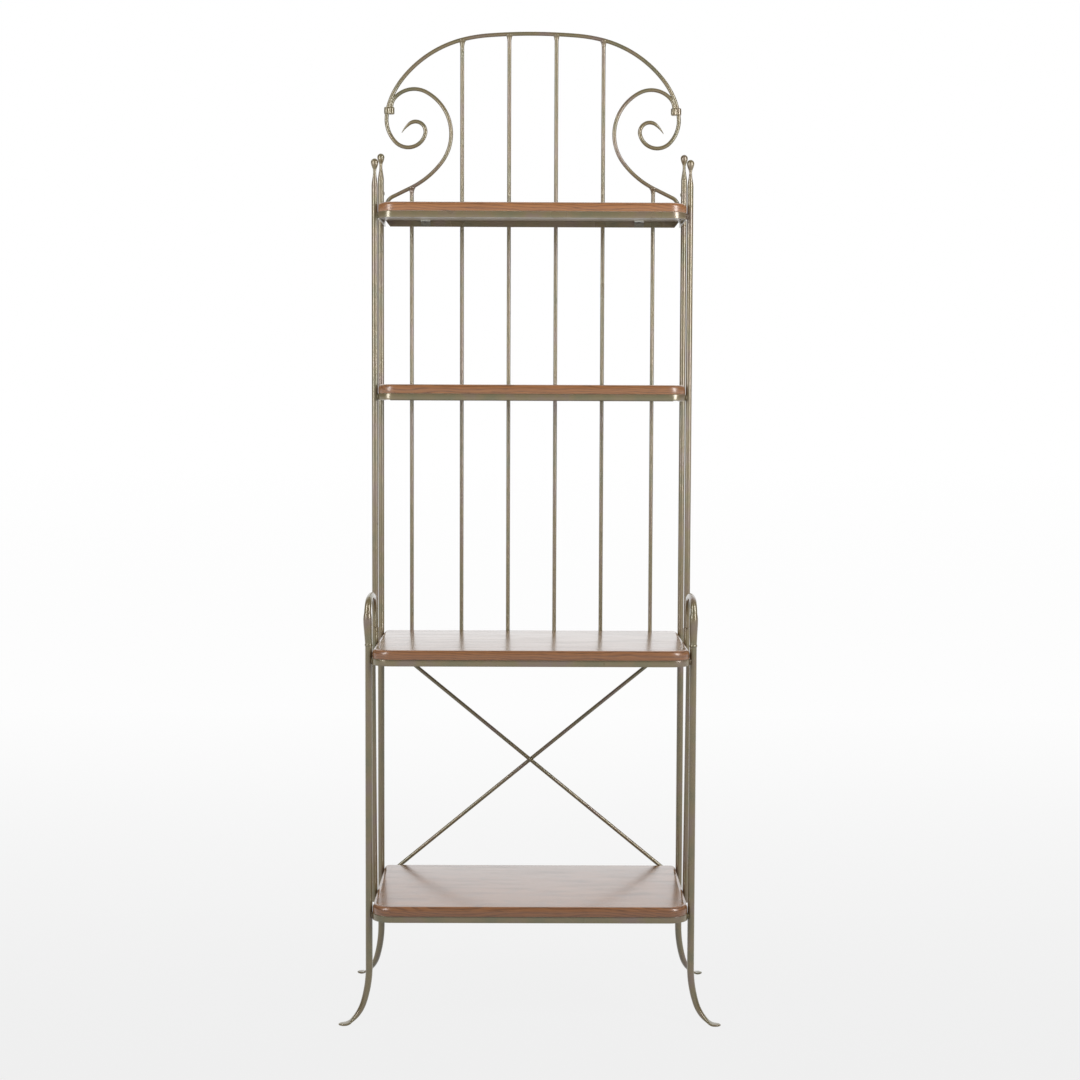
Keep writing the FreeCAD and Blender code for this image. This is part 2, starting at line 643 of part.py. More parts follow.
def spindle(doc, name, alias, sign, top, upper_bar):
    """Round bar behind the rails, from the work shelf's rail up into the crown bar it is welded to."""
    low = size(doc, "shelf_3_top - board_thick - band_high")
    bar = part(doc, "Cylinder", name + "_bar", Radius="rod_radius")
    bar.Height = top - low
    bind(bar, **{"Placement.Base.x": "%d * %s" % (sign, alias),
                 "Placement.Base.y": "board_back + rod_radius - weld_bite",
                 "Placement.Base.z": "shelf_3_top - board_thick - band_high"})
    return boolean(doc, "Cut", name, bar, upper_bar)


def crown_weld(doc, name, sign, alias, top, upper_bar, spindle_bar):
    """Weld cone under a crown bar, round the top of a spindle."""
    cone = part(doc, "Cone", name + "_cone", Radius1="rod_radius + 0.6",
                Radius2="rod_radius + weld_flare", Height="weld_high")
    cone.Placement.Base = Vector(sign * size(doc, alias), crown_y(doc), top - size(doc, "weld_high"))
    under = boolean(doc, "Cut", name + "_under", cone, upper_bar)
    return boolean(doc, "Cut", name, under, spindle_bar)


def brace_rods(doc):
    """X behind the lower bay: one rod straight, the other bowed to pass behind it."""
    x, y = size(doc, "post_x"), crown_y(doc)
    high, low = size(doc, "brace_high"), size(doc, "brace_low")
    half = "sqrt(post_x ^ 2 + ((brace_high - brace_low) / 2) ^ 2)"
    first = Vector(-x, y, high)
    way = (Vector(x, y, low) - first).normalize()
    front_rod = straight(doc, "brace_front_rod", "rod_radius", "2 * " + half, first, way)
    sag = "(2 * rod_radius - weld_bite)"
    bow = "((%s) ^ 2 + %s ^ 2) / (2 * %s)" % (half, sag, sag)
    turn = "2 * asin(%s / (%s))" % (half, bow)
    back_rod = part(doc, "Torus", "brace_back_rod", Radius1=bow, Radius2="rod_radius", Angle3=turn)
    second = Vector(-x, y, low)
    way = (Vector(x, y, high) - second).normalize()
    middle = Vector(0, y, (high + low) / 2)
    centre = middle + BACK * (size(doc, sag) - size(doc, bow))
    radial = (second - centre).normalize()
    back_rod.Placement = axes(centre, radial, radial.cross(way).cross(radial).normalize())
    return [front_rod, back_rod]


# ---------------------------------------------------------------- the whole rack

def shelves(doc):
    nodes = []
    for number in (1, 2, 3, 4):
        front, corner = ("upper_front", "upper_corner") if number < 3 else ("lower_front", "lower_corner")
        nodes.append(board(doc, number, front, corner))
        nodes.append(band(doc, number, front, corner))
        nodes.append(back_rail(doc, number))
        nodes.append(clips(doc, number))
    nodes.append(clip_screws(doc))
    return nodes


def frame_bars(doc):
    nodes = []
    for side, sign in SIDES:
        nodes.append(rear_post(doc, "rear_post_" + side, sign))
        nodes.append(leg(doc, "front_leg_" + side, sign, "front"))
        nodes.append(foot(doc, "foot_rear_" + side, sign, "rear"))
        nodes.append(foot(doc, "foot_front_" + side, sign, "front"))
        nodes.append(upper_post(doc, "upper_post_" + side, sign))
        nodes.append(stay(doc, "lower_stay_" + side, sign))
        nodes.append(crook(doc, "crook_" + side, sign))
        nodes.append(finial(doc, "finial_rear_" + side, "rear_y", "rear_top"))
        nodes.append(finial(doc, "finial_front_" + side, "upper_y", "upper_top"))
    return nodes


def crown(doc):
    arch = crown_arch(doc)
    nodes = [arch]
    welds = []
    for side, sign in SIDES:
        scroll = crown_scroll(doc, "crown_scroll_" + side, sign, arch)
        nodes.append(scroll)
        nodes.append(crown_collar(doc, "crown_collar_" + side, sign, arch, scroll))
        for word in ("inner", "middle", "outer"):
            alias = "spindle_" + word
            x = size(doc, alias)
            bar, top = (scroll, scroll_height(doc, x)) if word == "outer" else (arch, crown_height(doc, x))
            upright_bar = spindle(doc, "spindle_%s_%s" % (word, side), alias, sign, top, bar)
            nodes.append(upright_bar)
            weld_name = "crown_weld_%s_%s" % (word, side)
            welds.append(crown_weld(doc, weld_name, sign, alias, top, bar, upright_bar))
    nodes.append(together(doc, "Compound", "crown_welds", welds))
    return nodes


def check(doc, nodes):
    """Stop at any feature that failed or any node whose shape is missing or unsound."""
    for feature in doc.Objects:
        if "Invalid" in feature.State or "Error" in feature.State:
            raise RuntimeError("failed feature: %s %s" % (feature.Label, feature.State))
    for node in nodes:
        if node.Shape.isNull() or not node.Shape.isValid() or not node.Shape.Solids:
            raise RuntimeError("unsound node: " + node.Label)


def export(nodes):
    os.makedirs("parts", exist_ok=True)
    for node in nodes:
        node.Shape.exportStep("parts/%s.step" % node.Label)
        print("%-22s %2d solid(s) %12.1f mm3" % (node.Label, len(node.Shape.Solids), node.Shape.Volume))


doc = FreeCAD.newDocument("BakersRack")
driving_sheet(doc)
nodes = shelves(doc) + frame_bars(doc) + crown(doc) + brace_rods(doc)
doc.recompute()
check(doc, nodes)
export(nodes)
box = FreeCAD.BoundBox()
for node in nodes:
    box.add(node.Shape.BoundBox)
print("nodes", len(nodes), box)
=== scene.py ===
import bpy
import bmesh
import math
from mathutils import Matrix, Vector


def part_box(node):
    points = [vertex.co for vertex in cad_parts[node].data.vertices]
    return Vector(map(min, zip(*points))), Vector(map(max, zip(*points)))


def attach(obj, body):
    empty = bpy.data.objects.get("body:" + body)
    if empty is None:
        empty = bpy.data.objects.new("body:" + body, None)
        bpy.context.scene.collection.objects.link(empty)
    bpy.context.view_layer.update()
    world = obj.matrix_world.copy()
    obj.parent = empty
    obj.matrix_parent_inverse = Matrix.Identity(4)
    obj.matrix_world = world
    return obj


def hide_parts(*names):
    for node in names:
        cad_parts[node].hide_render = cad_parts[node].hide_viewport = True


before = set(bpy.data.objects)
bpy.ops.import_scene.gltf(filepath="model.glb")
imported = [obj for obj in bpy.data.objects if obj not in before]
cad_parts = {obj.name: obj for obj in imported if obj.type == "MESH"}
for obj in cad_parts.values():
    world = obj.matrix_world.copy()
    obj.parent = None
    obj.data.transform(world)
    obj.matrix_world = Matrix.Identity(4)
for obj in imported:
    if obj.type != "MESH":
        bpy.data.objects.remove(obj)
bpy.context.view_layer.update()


# ---- legs and rear posts
# Round mild steel bar. Each lower end is heated and drawn out into a flat spoon that curves outward
# to the floor, and the lighter upper post of the rear pair is welded on the leg's top.
UP = Vector((0, 0, 1))
DOWN = Vector((0, 0, -1))
BACK = Vector((0, 1, 0))
RIGHT = Vector((1, 0, 0))
SIDES = (("left", -1), ("right", 1))

# sizes in this file are in mm where nothing else is said
LEG, POST = 7, 6.35                                  # radius of each bar
LEG_X, POST_X = 322.65, 322                          # from the rack's middle to their centre lines
REAR_LEG_Y, REAR_POST_Y = 169.35, 170
FRONT_LEG_Y, FRONT_POST_Y = -164, -2
JOIN = 764                                           # height where a leg ends and the bar above begins
BEND = 115.2                                         # height where a leg starts to bend outward
# bends are given as (radius, degrees) and straight runs as (length,), here and in what follows
SPOON = [(229.7, 18.3), (74.3, 36.3), (19, 35.4), (12.3,)]
REAR_SPLAY, FRONT_SPLAY = 30.9, -16.5                # degrees from straight sideways, positive to the back
REAR_SHOULDER = 1719                                 # height where the turned cap begins

# half width and half thickness of a leg, by how far along the bend
LEG_WIDE = [(0, LEG), (36, LEG), (73, LEG), (97, 6.9), (114, 6.9), (118, 7.6), (122, 9.2), (127, 10),
            (133.5, 10), (138.5, 8.5), (142.2, 5.8), (144.5, 2.6)]
LEG_HIGH = [(0, LEG), (36, 6.7), (73, 6.1), (97, 5.1), (110, 3.9), (117, 2.8), (121, 2.4), (127, 2.4),
            (138, 2.4), (142, 1.9), (144.9, 0.8)]
# radius of the drop-shaped cap, by its height above the shoulder, up to the middle of its ball
CAP = [(0, POST), (3, 6.2), (8, 5.55), (14, 4.6), (20, 3.65), (26, 3.15), (29.5, 3.2), (33, 3.75),
       (36, 4.8), (39, 6.05), (42, 7.0), (44.5, 7.5), (47, 7.7)]
CAP_HIGH, BALL = CAP[-1]


def tone(code):
    """A colour given in sRGB hex, as the linear values that shaders take."""
    parts = [int(code[k:k + 2], 16) / 255 for k in (1, 3, 5)]
    return [p / 12.92 if p <= 0.04045 else ((p + 0.055) / 1.055) ** 2.4 for p in parts] + [1]


def put(tree, kind, inputs=(), stops=(), **settings):
    """Adds a node with its settings and links, and returns its outputs.

    Inputs come in the node's own order, or by name or number in a dictionary. One that is a socket
    is linked, and any other is a value. Stops are a colour ramp's positions and sRGB colours.
    """
    node = tree.nodes.new(kind)
    for name, value in settings.items():
        setattr(node, name, value)
    for name, value in inputs.items() if isinstance(inputs, dict) else enumerate(inputs):
        if isinstance(value, bpy.types.NodeSocket):
            tree.links.new(value, node.inputs[name])
        else:
            node.inputs[name].default_value = value
    if stops:
        while len(node.color_ramp.elements) < len(stops):
            node.color_ramp.elements.new(1)
        for element, (position, code) in zip(node.color_ramp.elements, stops):
            element.position = position
            element.color = tone(code)
    return node.outputs


def new_material(name):
    """An empty material and its tree."""
    made = bpy.data.materials.new(name)
    made.use_nodes = True
    made.node_tree.nodes.clear()
    return made, made.node_tree


def in_mm(tree, stretch=(1, 1, 1), shift=(0, 0, 0)):
    """Object coordinates in mm, shifted, then divided by the stretch along each axis."""
    place = put(tree, "ShaderNodeTexCoord")["Object"]
    moved = put(tree, "ShaderNodeVectorMath", (place, (1000, 1000, 1000), shift), operation="MULTIPLY_ADD")[0]
    return put(tree, "ShaderNodeVectorMath", (moved, [1 / s for s in stretch]), operation="MULTIPLY")[0]


# Polyester powder in antique bronze, sprayed on the welded rack and baked. It gives the eye a smooth
# olive brown skin with the soft gloss of its clear binder. Its tone drifts from greener to redder
# along a bar as the coat gets thicker and thinner, and flecks of metal in it make it a little uneven.
def bronze_powder_coat():
    drift, shine, peel = 55, 60, 3
    fleck = 1.2  # real flecks are about 0.1 across, too fine to show, so they are drawn this coarse
    made, tree = new_material("bronze_powder_coat")
    place = in_mm(tree)
    drifting = put(tree, "ShaderNodeTexNoise", {"Vector": place, "Scale": 1 / drift, "Detail": 3})["Fac"]
    flecked = put(tree, "ShaderNodeTexNoise", {"Vector": place, "Scale": 1 / fleck, "Detail": 1})["Fac"]
    peeled = put(tree, "ShaderNodeTexNoise", {"Vector": place, "Scale": 1 / peel, "Detail": 2})["Fac"]
    shining = put(tree, "ShaderNodeTexNoise", {"Vector": place, "Scale": 1 / shine, "Detail": 1})["Fac"]
    skin = put(tree, "ShaderNodeValToRGB", (drifting,),
               stops=((0.32, "#69654b"), (0.5, "#776a4d"), (0.68, "#77665b")))["Color"]
    specks = put(tree, "ShaderNodeValToRGB", (flecked,),
                 stops=((0.34, "#5f5642"), (0.5, "#72664d"), (0.68, "#86785e")))["Color"]
    # inputs 6 and 7 of a Mix node are its two colours, and output 2 is their mix
    colour = put(tree, "ShaderNodeMix", {0: 0.12, 6: skin, 7: specks}, data_type="RGBA")[2]
    # a Map Range node takes a value, the range it is in and the range it goes to
    roughness = put(tree, "ShaderNodeMapRange", (shining, 0, 1, 0.26, 0.3))["Result"]
    orange_peel = put(tree, "ShaderNodeBump",
                      {"Strength": 0.03, "Distance": 0.00002, "Height": peeled})["Normal"]
    shader = put(tree, "ShaderNodeBsdfPrincipled", {
        "Base Color": colour, "Metallic": 0.25, "Roughness": roughness,
        "Coat Weight": 0.8, "Coat Roughness": 0.18, "Normal": orange_peel})
    put(tree, "ShaderNodeOutputMaterial", {"Surface": shader[0]})
    return made


steel_finish = bronze_powder_coat()


def walk(point, ahead, side, stretches, step=4, run=24):
    """Points and directions along straight runs (length) and bends toward the side (radius, degrees)."""
    spots = [(point.copy(), ahead.copy(), side.copy())]
    for stretch in stretches:
        start, first, inward = point.copy(), ahead.copy(), side.copy()
        if len(stretch) == 1:
            count = max(1, round(stretch[0] / run))
            for k in range(1, count + 1):
                point = start + first * (stretch[0] * k / count)
                spots.append((point, first, inward))
            continue
        radius, turn = stretch[0], math.radians(stretch[1])
        count = max(2, round(radius * turn / step), round(stretch[1] / 6))
        for k in range(1, count + 1):
            angle = turn * k / count
            point = start + inward * (radius * (1 - math.cos(angle))) + first * (radius * math.sin(angle))
            ahead = first * math.cos(angle) + inward * math.sin(angle)
            side = inward * math.cos(angle) - first * math.sin(angle)
            spots.append((point, ahead, side))
    return spots


def lengths(spots):
    """How far along the path each spot is."""
    total = [0.0]
    for a, b in zip(spots, spots[1:]):
        total.append(total[-1] + (b[0] - a[0]).length)
    return total


def between(table, place):
    """A smooth value from a table of (place, value)."""
    if place <= table[0][0]:
        return table[0][1]
    if place >= table[-1][0]:
        return table[-1][1]
    k = max(i for i in range(len(table) - 1) if table[i][0] <= place)
    slopes = []
    for i in (k, k + 1):
        a, b = table[max(i - 1, 0)], table[min(i + 1, len(table) - 1)]
        slopes.append((b[1] - a[1]) / (b[0] - a[0]))
    (x0, y0), (x1, y1) = table[k], table[k + 1]
    width = x1 - x0
    t = (place - x0) / width
    rise = y1 * (3 * t * t - 2 * t ** 3) + y0 * (1 - 3 * t * t + 2 * t ** 3)
    return rise + width * (slopes[0] * (t ** 3 - 2 * t * t + t) + slopes[1] * (t ** 3 - t * t))


def ring(middle, ahead, sideways, wide, high, segments=32):
    """A section of bar. Hammered flat it turns from a circle into a slab with soft corners."""
    third = ahead.cross(sideways)
    power = 0.5 + 0.5 * min(1, high / wide)
    points = []
    for k in range(segments):
        angle = 2 * math.pi * k / segments
        c, s = math.cos(angle), math.sin(angle)
        across = math.copysign(abs(c) ** power, c) * wide
        points.append(middle + sideways * across + third * (math.copysign(abs(s) ** power, s) * high))
    return points


def domed(end, ahead, side, radius, steps):
    """Sections that round off the end of a bar."""
    rings = []
    for k in range(1, steps + 1):
        angle = math.radians(88 * k / steps)
        around = radius * math.cos(angle)
        rings.append(ring(end + ahead * (radius * math.sin(angle)), ahead, side, around, around))
    return rings


def stacked(*skins):
    """A mesh of closed skins, each a stack of loops with as many points in every loop."""
    work = bmesh.new()
    for loops in skins:
        rows = [[work.verts.new(point / 1000) for point in loop] for loop in loops]
        for a, b in zip(rows, rows[1:]):
            for k in range(len(a)):
                work.faces.new((a[k], a[(k + 1) % len(a)], b[(k + 1) % len(a)], b[k]))
        work.faces.new(list(reversed(rows[0])))
        work.faces.new(rows[-1])
    bmesh.ops.recalc_face_normals(work, faces=work.faces)
    mesh = bpy.data.meshes.new("stacked")
    work.to_mesh(mesh)
    work.free()
    return mesh


def finished(name, mesh, material, slot, *cad_nodes, sharp=35):
    """A piece of the rack from its mesh. It stands for the nodes named, which get its material too.

    Edges that turn by more than the sharp angle, in degrees, stay crisp.
    """
    mesh.name = name
    if not mesh.materials:
        mesh.materials.append(material)
    mesh.shade_smooth()
    mesh.set_sharp_from_angle(angle=math.radians(sharp))
    piece = bpy.data.objects.new(name, mesh)
    bpy.context.scene.collection.objects.link(piece)
    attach(piece, "root")
    if cad_nodes:
        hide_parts(*cad_nodes)
    for node in cad_nodes:
        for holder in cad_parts[node].material_slots:
            holder.material = material


def leg_rings(sign, y, splay):
    """Sections of a leg, from its top to the tip of its spoon."""
    angle = math.radians(abs(splay))
    side = Vector((sign * math.cos(angle), math.copysign(math.sin(angle), splay), 0))
    start = Vector((sign * LEG_X, y, BEND))
    rings = [ring(start + UP * rise, DOWN, DOWN.cross(side), LEG, LEG) for rise in (JOIN - BEND, 300, 60)]
    bend = walk(start, DOWN, side, SPOON, 2, 2)
    for (point, ahead, inward), far in zip(bend, lengths(bend)):
        rings.append(ring(point, ahead, ahead.cross(inward), between(LEG_WIDE, far), between(LEG_HIGH, far)))
    return rings


def post_rings(sign, y, low, shoulder):
    """Sections of an upper post, from its lower end to the top of its cap."""
    foot = Vector((sign * POST_X, y, 0))
    rings = [ring(foot + UP * z, UP, RIGHT, POST, POST) for z in (low, (low + shoulder) / 2, shoulder - 0.5)]
    for z in range(CAP_HIGH + 1):
        rings.append(ring(foot + UP * (shoulder + z), UP, RIGHT, between(CAP, z), between(CAP, z)))
    return rings + domed(foot + UP * (shoulder + CAP_HIGH), UP, RIGHT, BALL, 11)


def flat_on_floor(mesh):
    """Grinds the soles flat at floor level."""
    for vertex in mesh.vertices:
        vertex.co.z = max(vertex.co.z, 0)
    return mesh


for side, sign in SIDES:
    upper = post_rings(sign, REAR_POST_Y, JOIN, REAR_SHOULDER)
    rear = stacked(leg_rings(sign, REAR_LEG_Y, REAR_SPLAY), upper)
    finished("rear_post_forged_" + side, flat_on_floor(rear), steel_finish, "steel",
             "rear_post_" + side, "foot_rear_" + side, "finial_rear_" + side)
    front = stacked(leg_rings(sign, FRONT_LEG_Y, FRONT_SPLAY))
    finished("front_leg_forged_" + side, flat_on_floor(front), steel_finish, "steel",
             "front_leg_" + side, "foot_front_" + side)


# ---- upper front posts
# Two lengths of half-inch bar that start level with the lower edge of the work shelf's band. They
# are capped like the rear posts and welded to the outside of the shelf bands.
FRONT_POST_FOOT, FRONT_SHOULDER = 726.3, 1687
for side, sign in SIDES:
    post = stacked(post_rings(sign, FRONT_POST_Y, FRONT_POST_FOOT, FRONT_SHOULDER))
    finished("front_post_capped_" + side, post, steel_finish, "steel",
             "upper_post_" + side, "finial_front_" + side)


# ---- crooks
# The top of each front leg is a forged crook: it swells, arches back and ends blunt against the
# upper post, where it is welded. A ring of weld shows where it joins the leg.
CROOK_BENDS = [(66,), (24, 80), (226, 25), (45, 75), (20,)]
CROOK = [(0, LEG), (17, 7.5), (33, 8.2), (44, 8.7), (51, 8.8), (57, 8.3), (66, 7.2), (99, 6.5),
         (198, 5.9), (230, 5.2), (257, 4.8), (277, 4.75)]      # distance along it, and radius
WELD_RING = [(-2.6, 6.9), (-1.9, 7.5), (-0.8, 7.9), (0.4, 8.0), (1.5, 7.8), (2.5, 7.3), (3.2, 6.9)]
# each was bent by hand, and its lower part leans outward by this much at most
LEAN = {"left": 2.0, "right": 0.4}
LEAN_SHARE = [(0, 0), (22, 0.5), (51, 1), (80, 0.6), (110, 0)]


def round_bar(spots, radius, segments=32):
    """Sections of round bar along a path. The radius is a number or a table of (distance, radius)."""
    rings, last = [], spots[0][2]
    for (point, ahead, side), far in zip(spots, lengths(spots)):
        last = side if side.dot(last) >= 0 else side * -1
        bar = radius if isinstance(radius, (int, float)) else between(radius, far)
        rings.append(ring(point, ahead, last, bar, bar, segments))
    return rings


for side, sign in SIDES:
    start = Vector((sign * LEG_X, FRONT_LEG_Y, JOIN))
    spots = walk(start, UP, BACK, CROOK_BENDS, 3, 3)
    lean = [RIGHT * (sign * LEAN[side] * between(LEAN_SHARE, far)) for far in lengths(spots)]
    spots = [(point + out, ahead, inward) for (point, ahead, inward), out in zip(spots, lean)]
    limb = round_bar(spots, CROOK) + domed(*spots[-1], CROOK[-1][1], 8)
    weld = [ring(start + UP * rise, UP, RIGHT, wide, wide) for rise, wide in WELD_RING]
    finished("crook_forged_" + side, stacked(limb, weld), steel_finish, "steel", "crook_" + side)


# ---- raked stays
# A half-inch bar on each side, welded to the outside of the lower two shelf bands. It runs down from
# the work shelf to the bottom shelf, and its foot stands further back than its head.
STAY_FOOT_Y, STAY_FOOT_Z = -26, 214.3
STAY_HEAD_Y, STAY_HEAD_Z = -75, 739
for side, sign in SIDES:
    foot = Vector((sign * POST_X, STAY_FOOT_Y, STAY_FOOT_Z))
    head = Vector((sign * POST_X, STAY_HEAD_Y, STAY_HEAD_Z))
    ahead = (head - foot).normalized()
    spots = [(foot + (head - foot) * (k / 8), ahead, RIGHT) for k in range(9)]
    stay = stacked(round_bar(spots, POST))
    finished("raked_stay_" + side, stay, steel_finish, "steel", "lower_stay_" + side)


# ---- shelf frames
# Each board rests on a band of flat mild steel, set on edge and bent round its front and sides, with
# its arrises rolled soft. A flat rail whose ends slope in below closes the frame behind, and the bars
# that stand round the frame are welded to it.
BOARD = 19                                           # thickness of the boards
BAND, BAND_HIGH = 3.2, 12.7                          # thickness and height of the band and of the rail
ARRIS, CHAMFER = 0.6, 0.5                            # softness of the band's arrises, and of the rail's
BAND_X = 315.7                                       # from the middle of the rack to its outer face
HALF_WAY_X = 160                                     # an extra point on the band's straight front
SET_BACK = 2                                         # of the band from the board's front edge
CORNER_STEPS = 16
RAIL_BACK = 176.35
RAIL_FRONT = RAIL_BACK - BAND
RAIL_LOW_X, RAIL_HIGH_X = 302.5, 312.5               # half the rail's length, below and above
# number, height of the board's top, its front edge, radius of its front corners
SHELVES = ((1, 1652, -38.65, 38), (2, 1283, -38.65, 38), (3, 758, -206.4, 41), (4, 246, -206.4, 41))


def new_tree(name, **sizes):
    """An empty Geometry Nodes tree with an input for each size, and what its inputs give."""
    tree = bpy.data.node_groups.new(name, "GeometryNodeTree")
    tree.interface.new_socket(name="Geometry", in_out="INPUT", socket_type="NodeSocketGeometry")
    tree.interface.new_socket(name="Geometry", in_out="OUTPUT", socket_type="NodeSocketGeometry")
    for title, value in sizes.items():
        socket = tree.interface.new_socket(name=title, in_out="INPUT", socket_type="NodeSocketFloat")
        socket.default_value = value
    return tree, put(tree, "NodeGroupInput")


def coat_and_close(tree, geometry, material):
    """Ends a tree: makes instances real and gives the whole its material."""
    real = put(tree, "GeometryNodeRealizeInstances", (geometry,))
    coated = put(tree, "GeometryNodeSetMaterial", {"Geometry": real[0], "Material": material})
    put(tree, "NodeGroupOutput", (coated[0],))
    return tree


def grown(seed, tree, **sizes):
    """The mesh that a Geometry Nodes tree makes of a seed mesh."""
    holder = bpy.data.objects.new("seed", seed)
    bpy.context.scene.collection.objects.link(holder)
    modifier = holder.modifiers.new("nodes", "NODES")
    modifier.node_group = tree
    for socket in tree.interface.items_tree:
        if socket.in_out == "INPUT" and socket.name in sizes:
            modifier[socket.identifier] = sizes[socket.name]
    graph = bpy.context.evaluated_depsgraph_get()
    mesh = bpy.data.meshes.new_from_object(holder.evaluated_get(graph))
    holder.modifiers.remove(modifier)
    bpy.data.objects.remove(holder)
    return mesh


def flat_bar_tree():
    """Flat bar on edge, swept along a level path. Its sizes are in metres."""
    tree, given = new_tree("flat_bar", Thickness=BAND / 1000, Height=BAND_HIGH / 1000, Arris=ARRIS / 1000)
    path = put(tree, "GeometryNodeMeshToCurve", {"Mesh": given["Geometry"]})
    level = put(tree, "GeometryNodeSetCurveNormal", {"Curve": path[0]}, mode="Z_UP")
    section = put(tree, "GeometryNodeCurvePrimitiveQuadrilateral",
                  {"Width": given["Thickness"], "Height": given["Height"]}, mode="RECTANGLE")
    soft = put(tree, "GeometryNodeFilletCurve", {"Curve": section[0], "Radius": given["Arris"], "Count": 3},
               mode="POLY")
    bar = put(tree, "GeometryNodeCurveToMesh",
              {"Curve": level[0], "Profile Curve": soft[0], "Fill Caps": True})
    return coat_and_close(tree, bar[0], steel_finish)


def chain(points):
    """A mesh of points joined one to the next."""
    mesh = bpy.data.meshes.new("path")
    mesh.from_pydata([Vector(p) / 1000 for p in points], [(k, k + 1) for k in range(len(points) - 1)], [])
    return mesh


flat_bar = flat_bar_tree()
for number, top, front, corner in SHELVES:
    # centre line of the band, from its left end behind to the middle of the front, then mirrored
    x, y = BAND_X - BAND / 2, front + SET_BACK + BAND / 2
    bend = corner - SET_BACK - BAND / 2
    level = top - BOARD - BAND_HIGH / 2
    points = [(-x, RAIL_BACK, level), (-x, (y + RAIL_BACK) / 2, level)]
    for k in range(CORNER_STEPS + 1):
        angle = math.radians(180 + 90 * k / CORNER_STEPS)
        points.append((-x + bend + bend * math.cos(angle), y + bend + bend * math.sin(angle), level))
    points += [(-HALF_WAY_X, y, level), (0, y, level)]
    points += [(-px, py, pz) for px, py, pz in reversed(points[:-1])]
    finished("shelf_%d_flat_bar" % number, grown(chain(points), flat_bar), steel_finish, "steel",
             "shelf_%d_band" % number)

    low, high = top - BOARD - BAND_HIGH, top - BOARD
    loops = []
    for forward, inset in ((BAND, CHAMFER), (BAND - CHAMFER, 0), (CHAMFER, 0), (0, CHAMFER)):
        y = RAIL_BACK - forward
        below = [Vector((x, y, low + inset)) for x in (-RAIL_LOW_X + inset, RAIL_LOW_X - inset)]
        above = [Vector((x, y, high - inset)) for x in (RAIL_HIGH_X - inset, -RAIL_HIGH_X + inset)]
        loops.append(below + above)
    finished("shelf_%d_rail_bevelled" % number, stacked(loops), steel_finish, "steel",
             "shelf_%d_back_rail" % number)


# ---- shelf boards
# Oak boards glued up from flat-sawn staves, with a rolled upper edge, rounded front corners and a
# fine arris below. They are stained brown and lacquered, but left pale underneath, and screwed down
# from below through clips on the back rails.
BOARD_X = 315                                        # half a board's length
BACK_CORNER, ROLL = 11, 8.5                          # radius of its back corners and of its upper edge
EDGE_STEPS = 14                                      # round each corner
# its edge from the underside up: inset from the full outline, and height against the top
EDGE = [(1.2, -BOARD), (0.35, -18.65), (0, -17.8), (0, -ROLL)]
for degrees in range(9, 91, 9):
    angle = math.radians(degrees)
    EDGE.append((ROLL - ROLL * math.cos(angle), ROLL * math.sin(angle) - ROLL))
# how each board's tint darkens the wood, from the top board down: partly a real difference of stain between
# the boards, partly painted shade for the light that falls off toward the floor
BOARD_TINTS_AND_SHADE = ("#fffff6", "#e6e2d4", "#dad4c6", "#d4cab8")


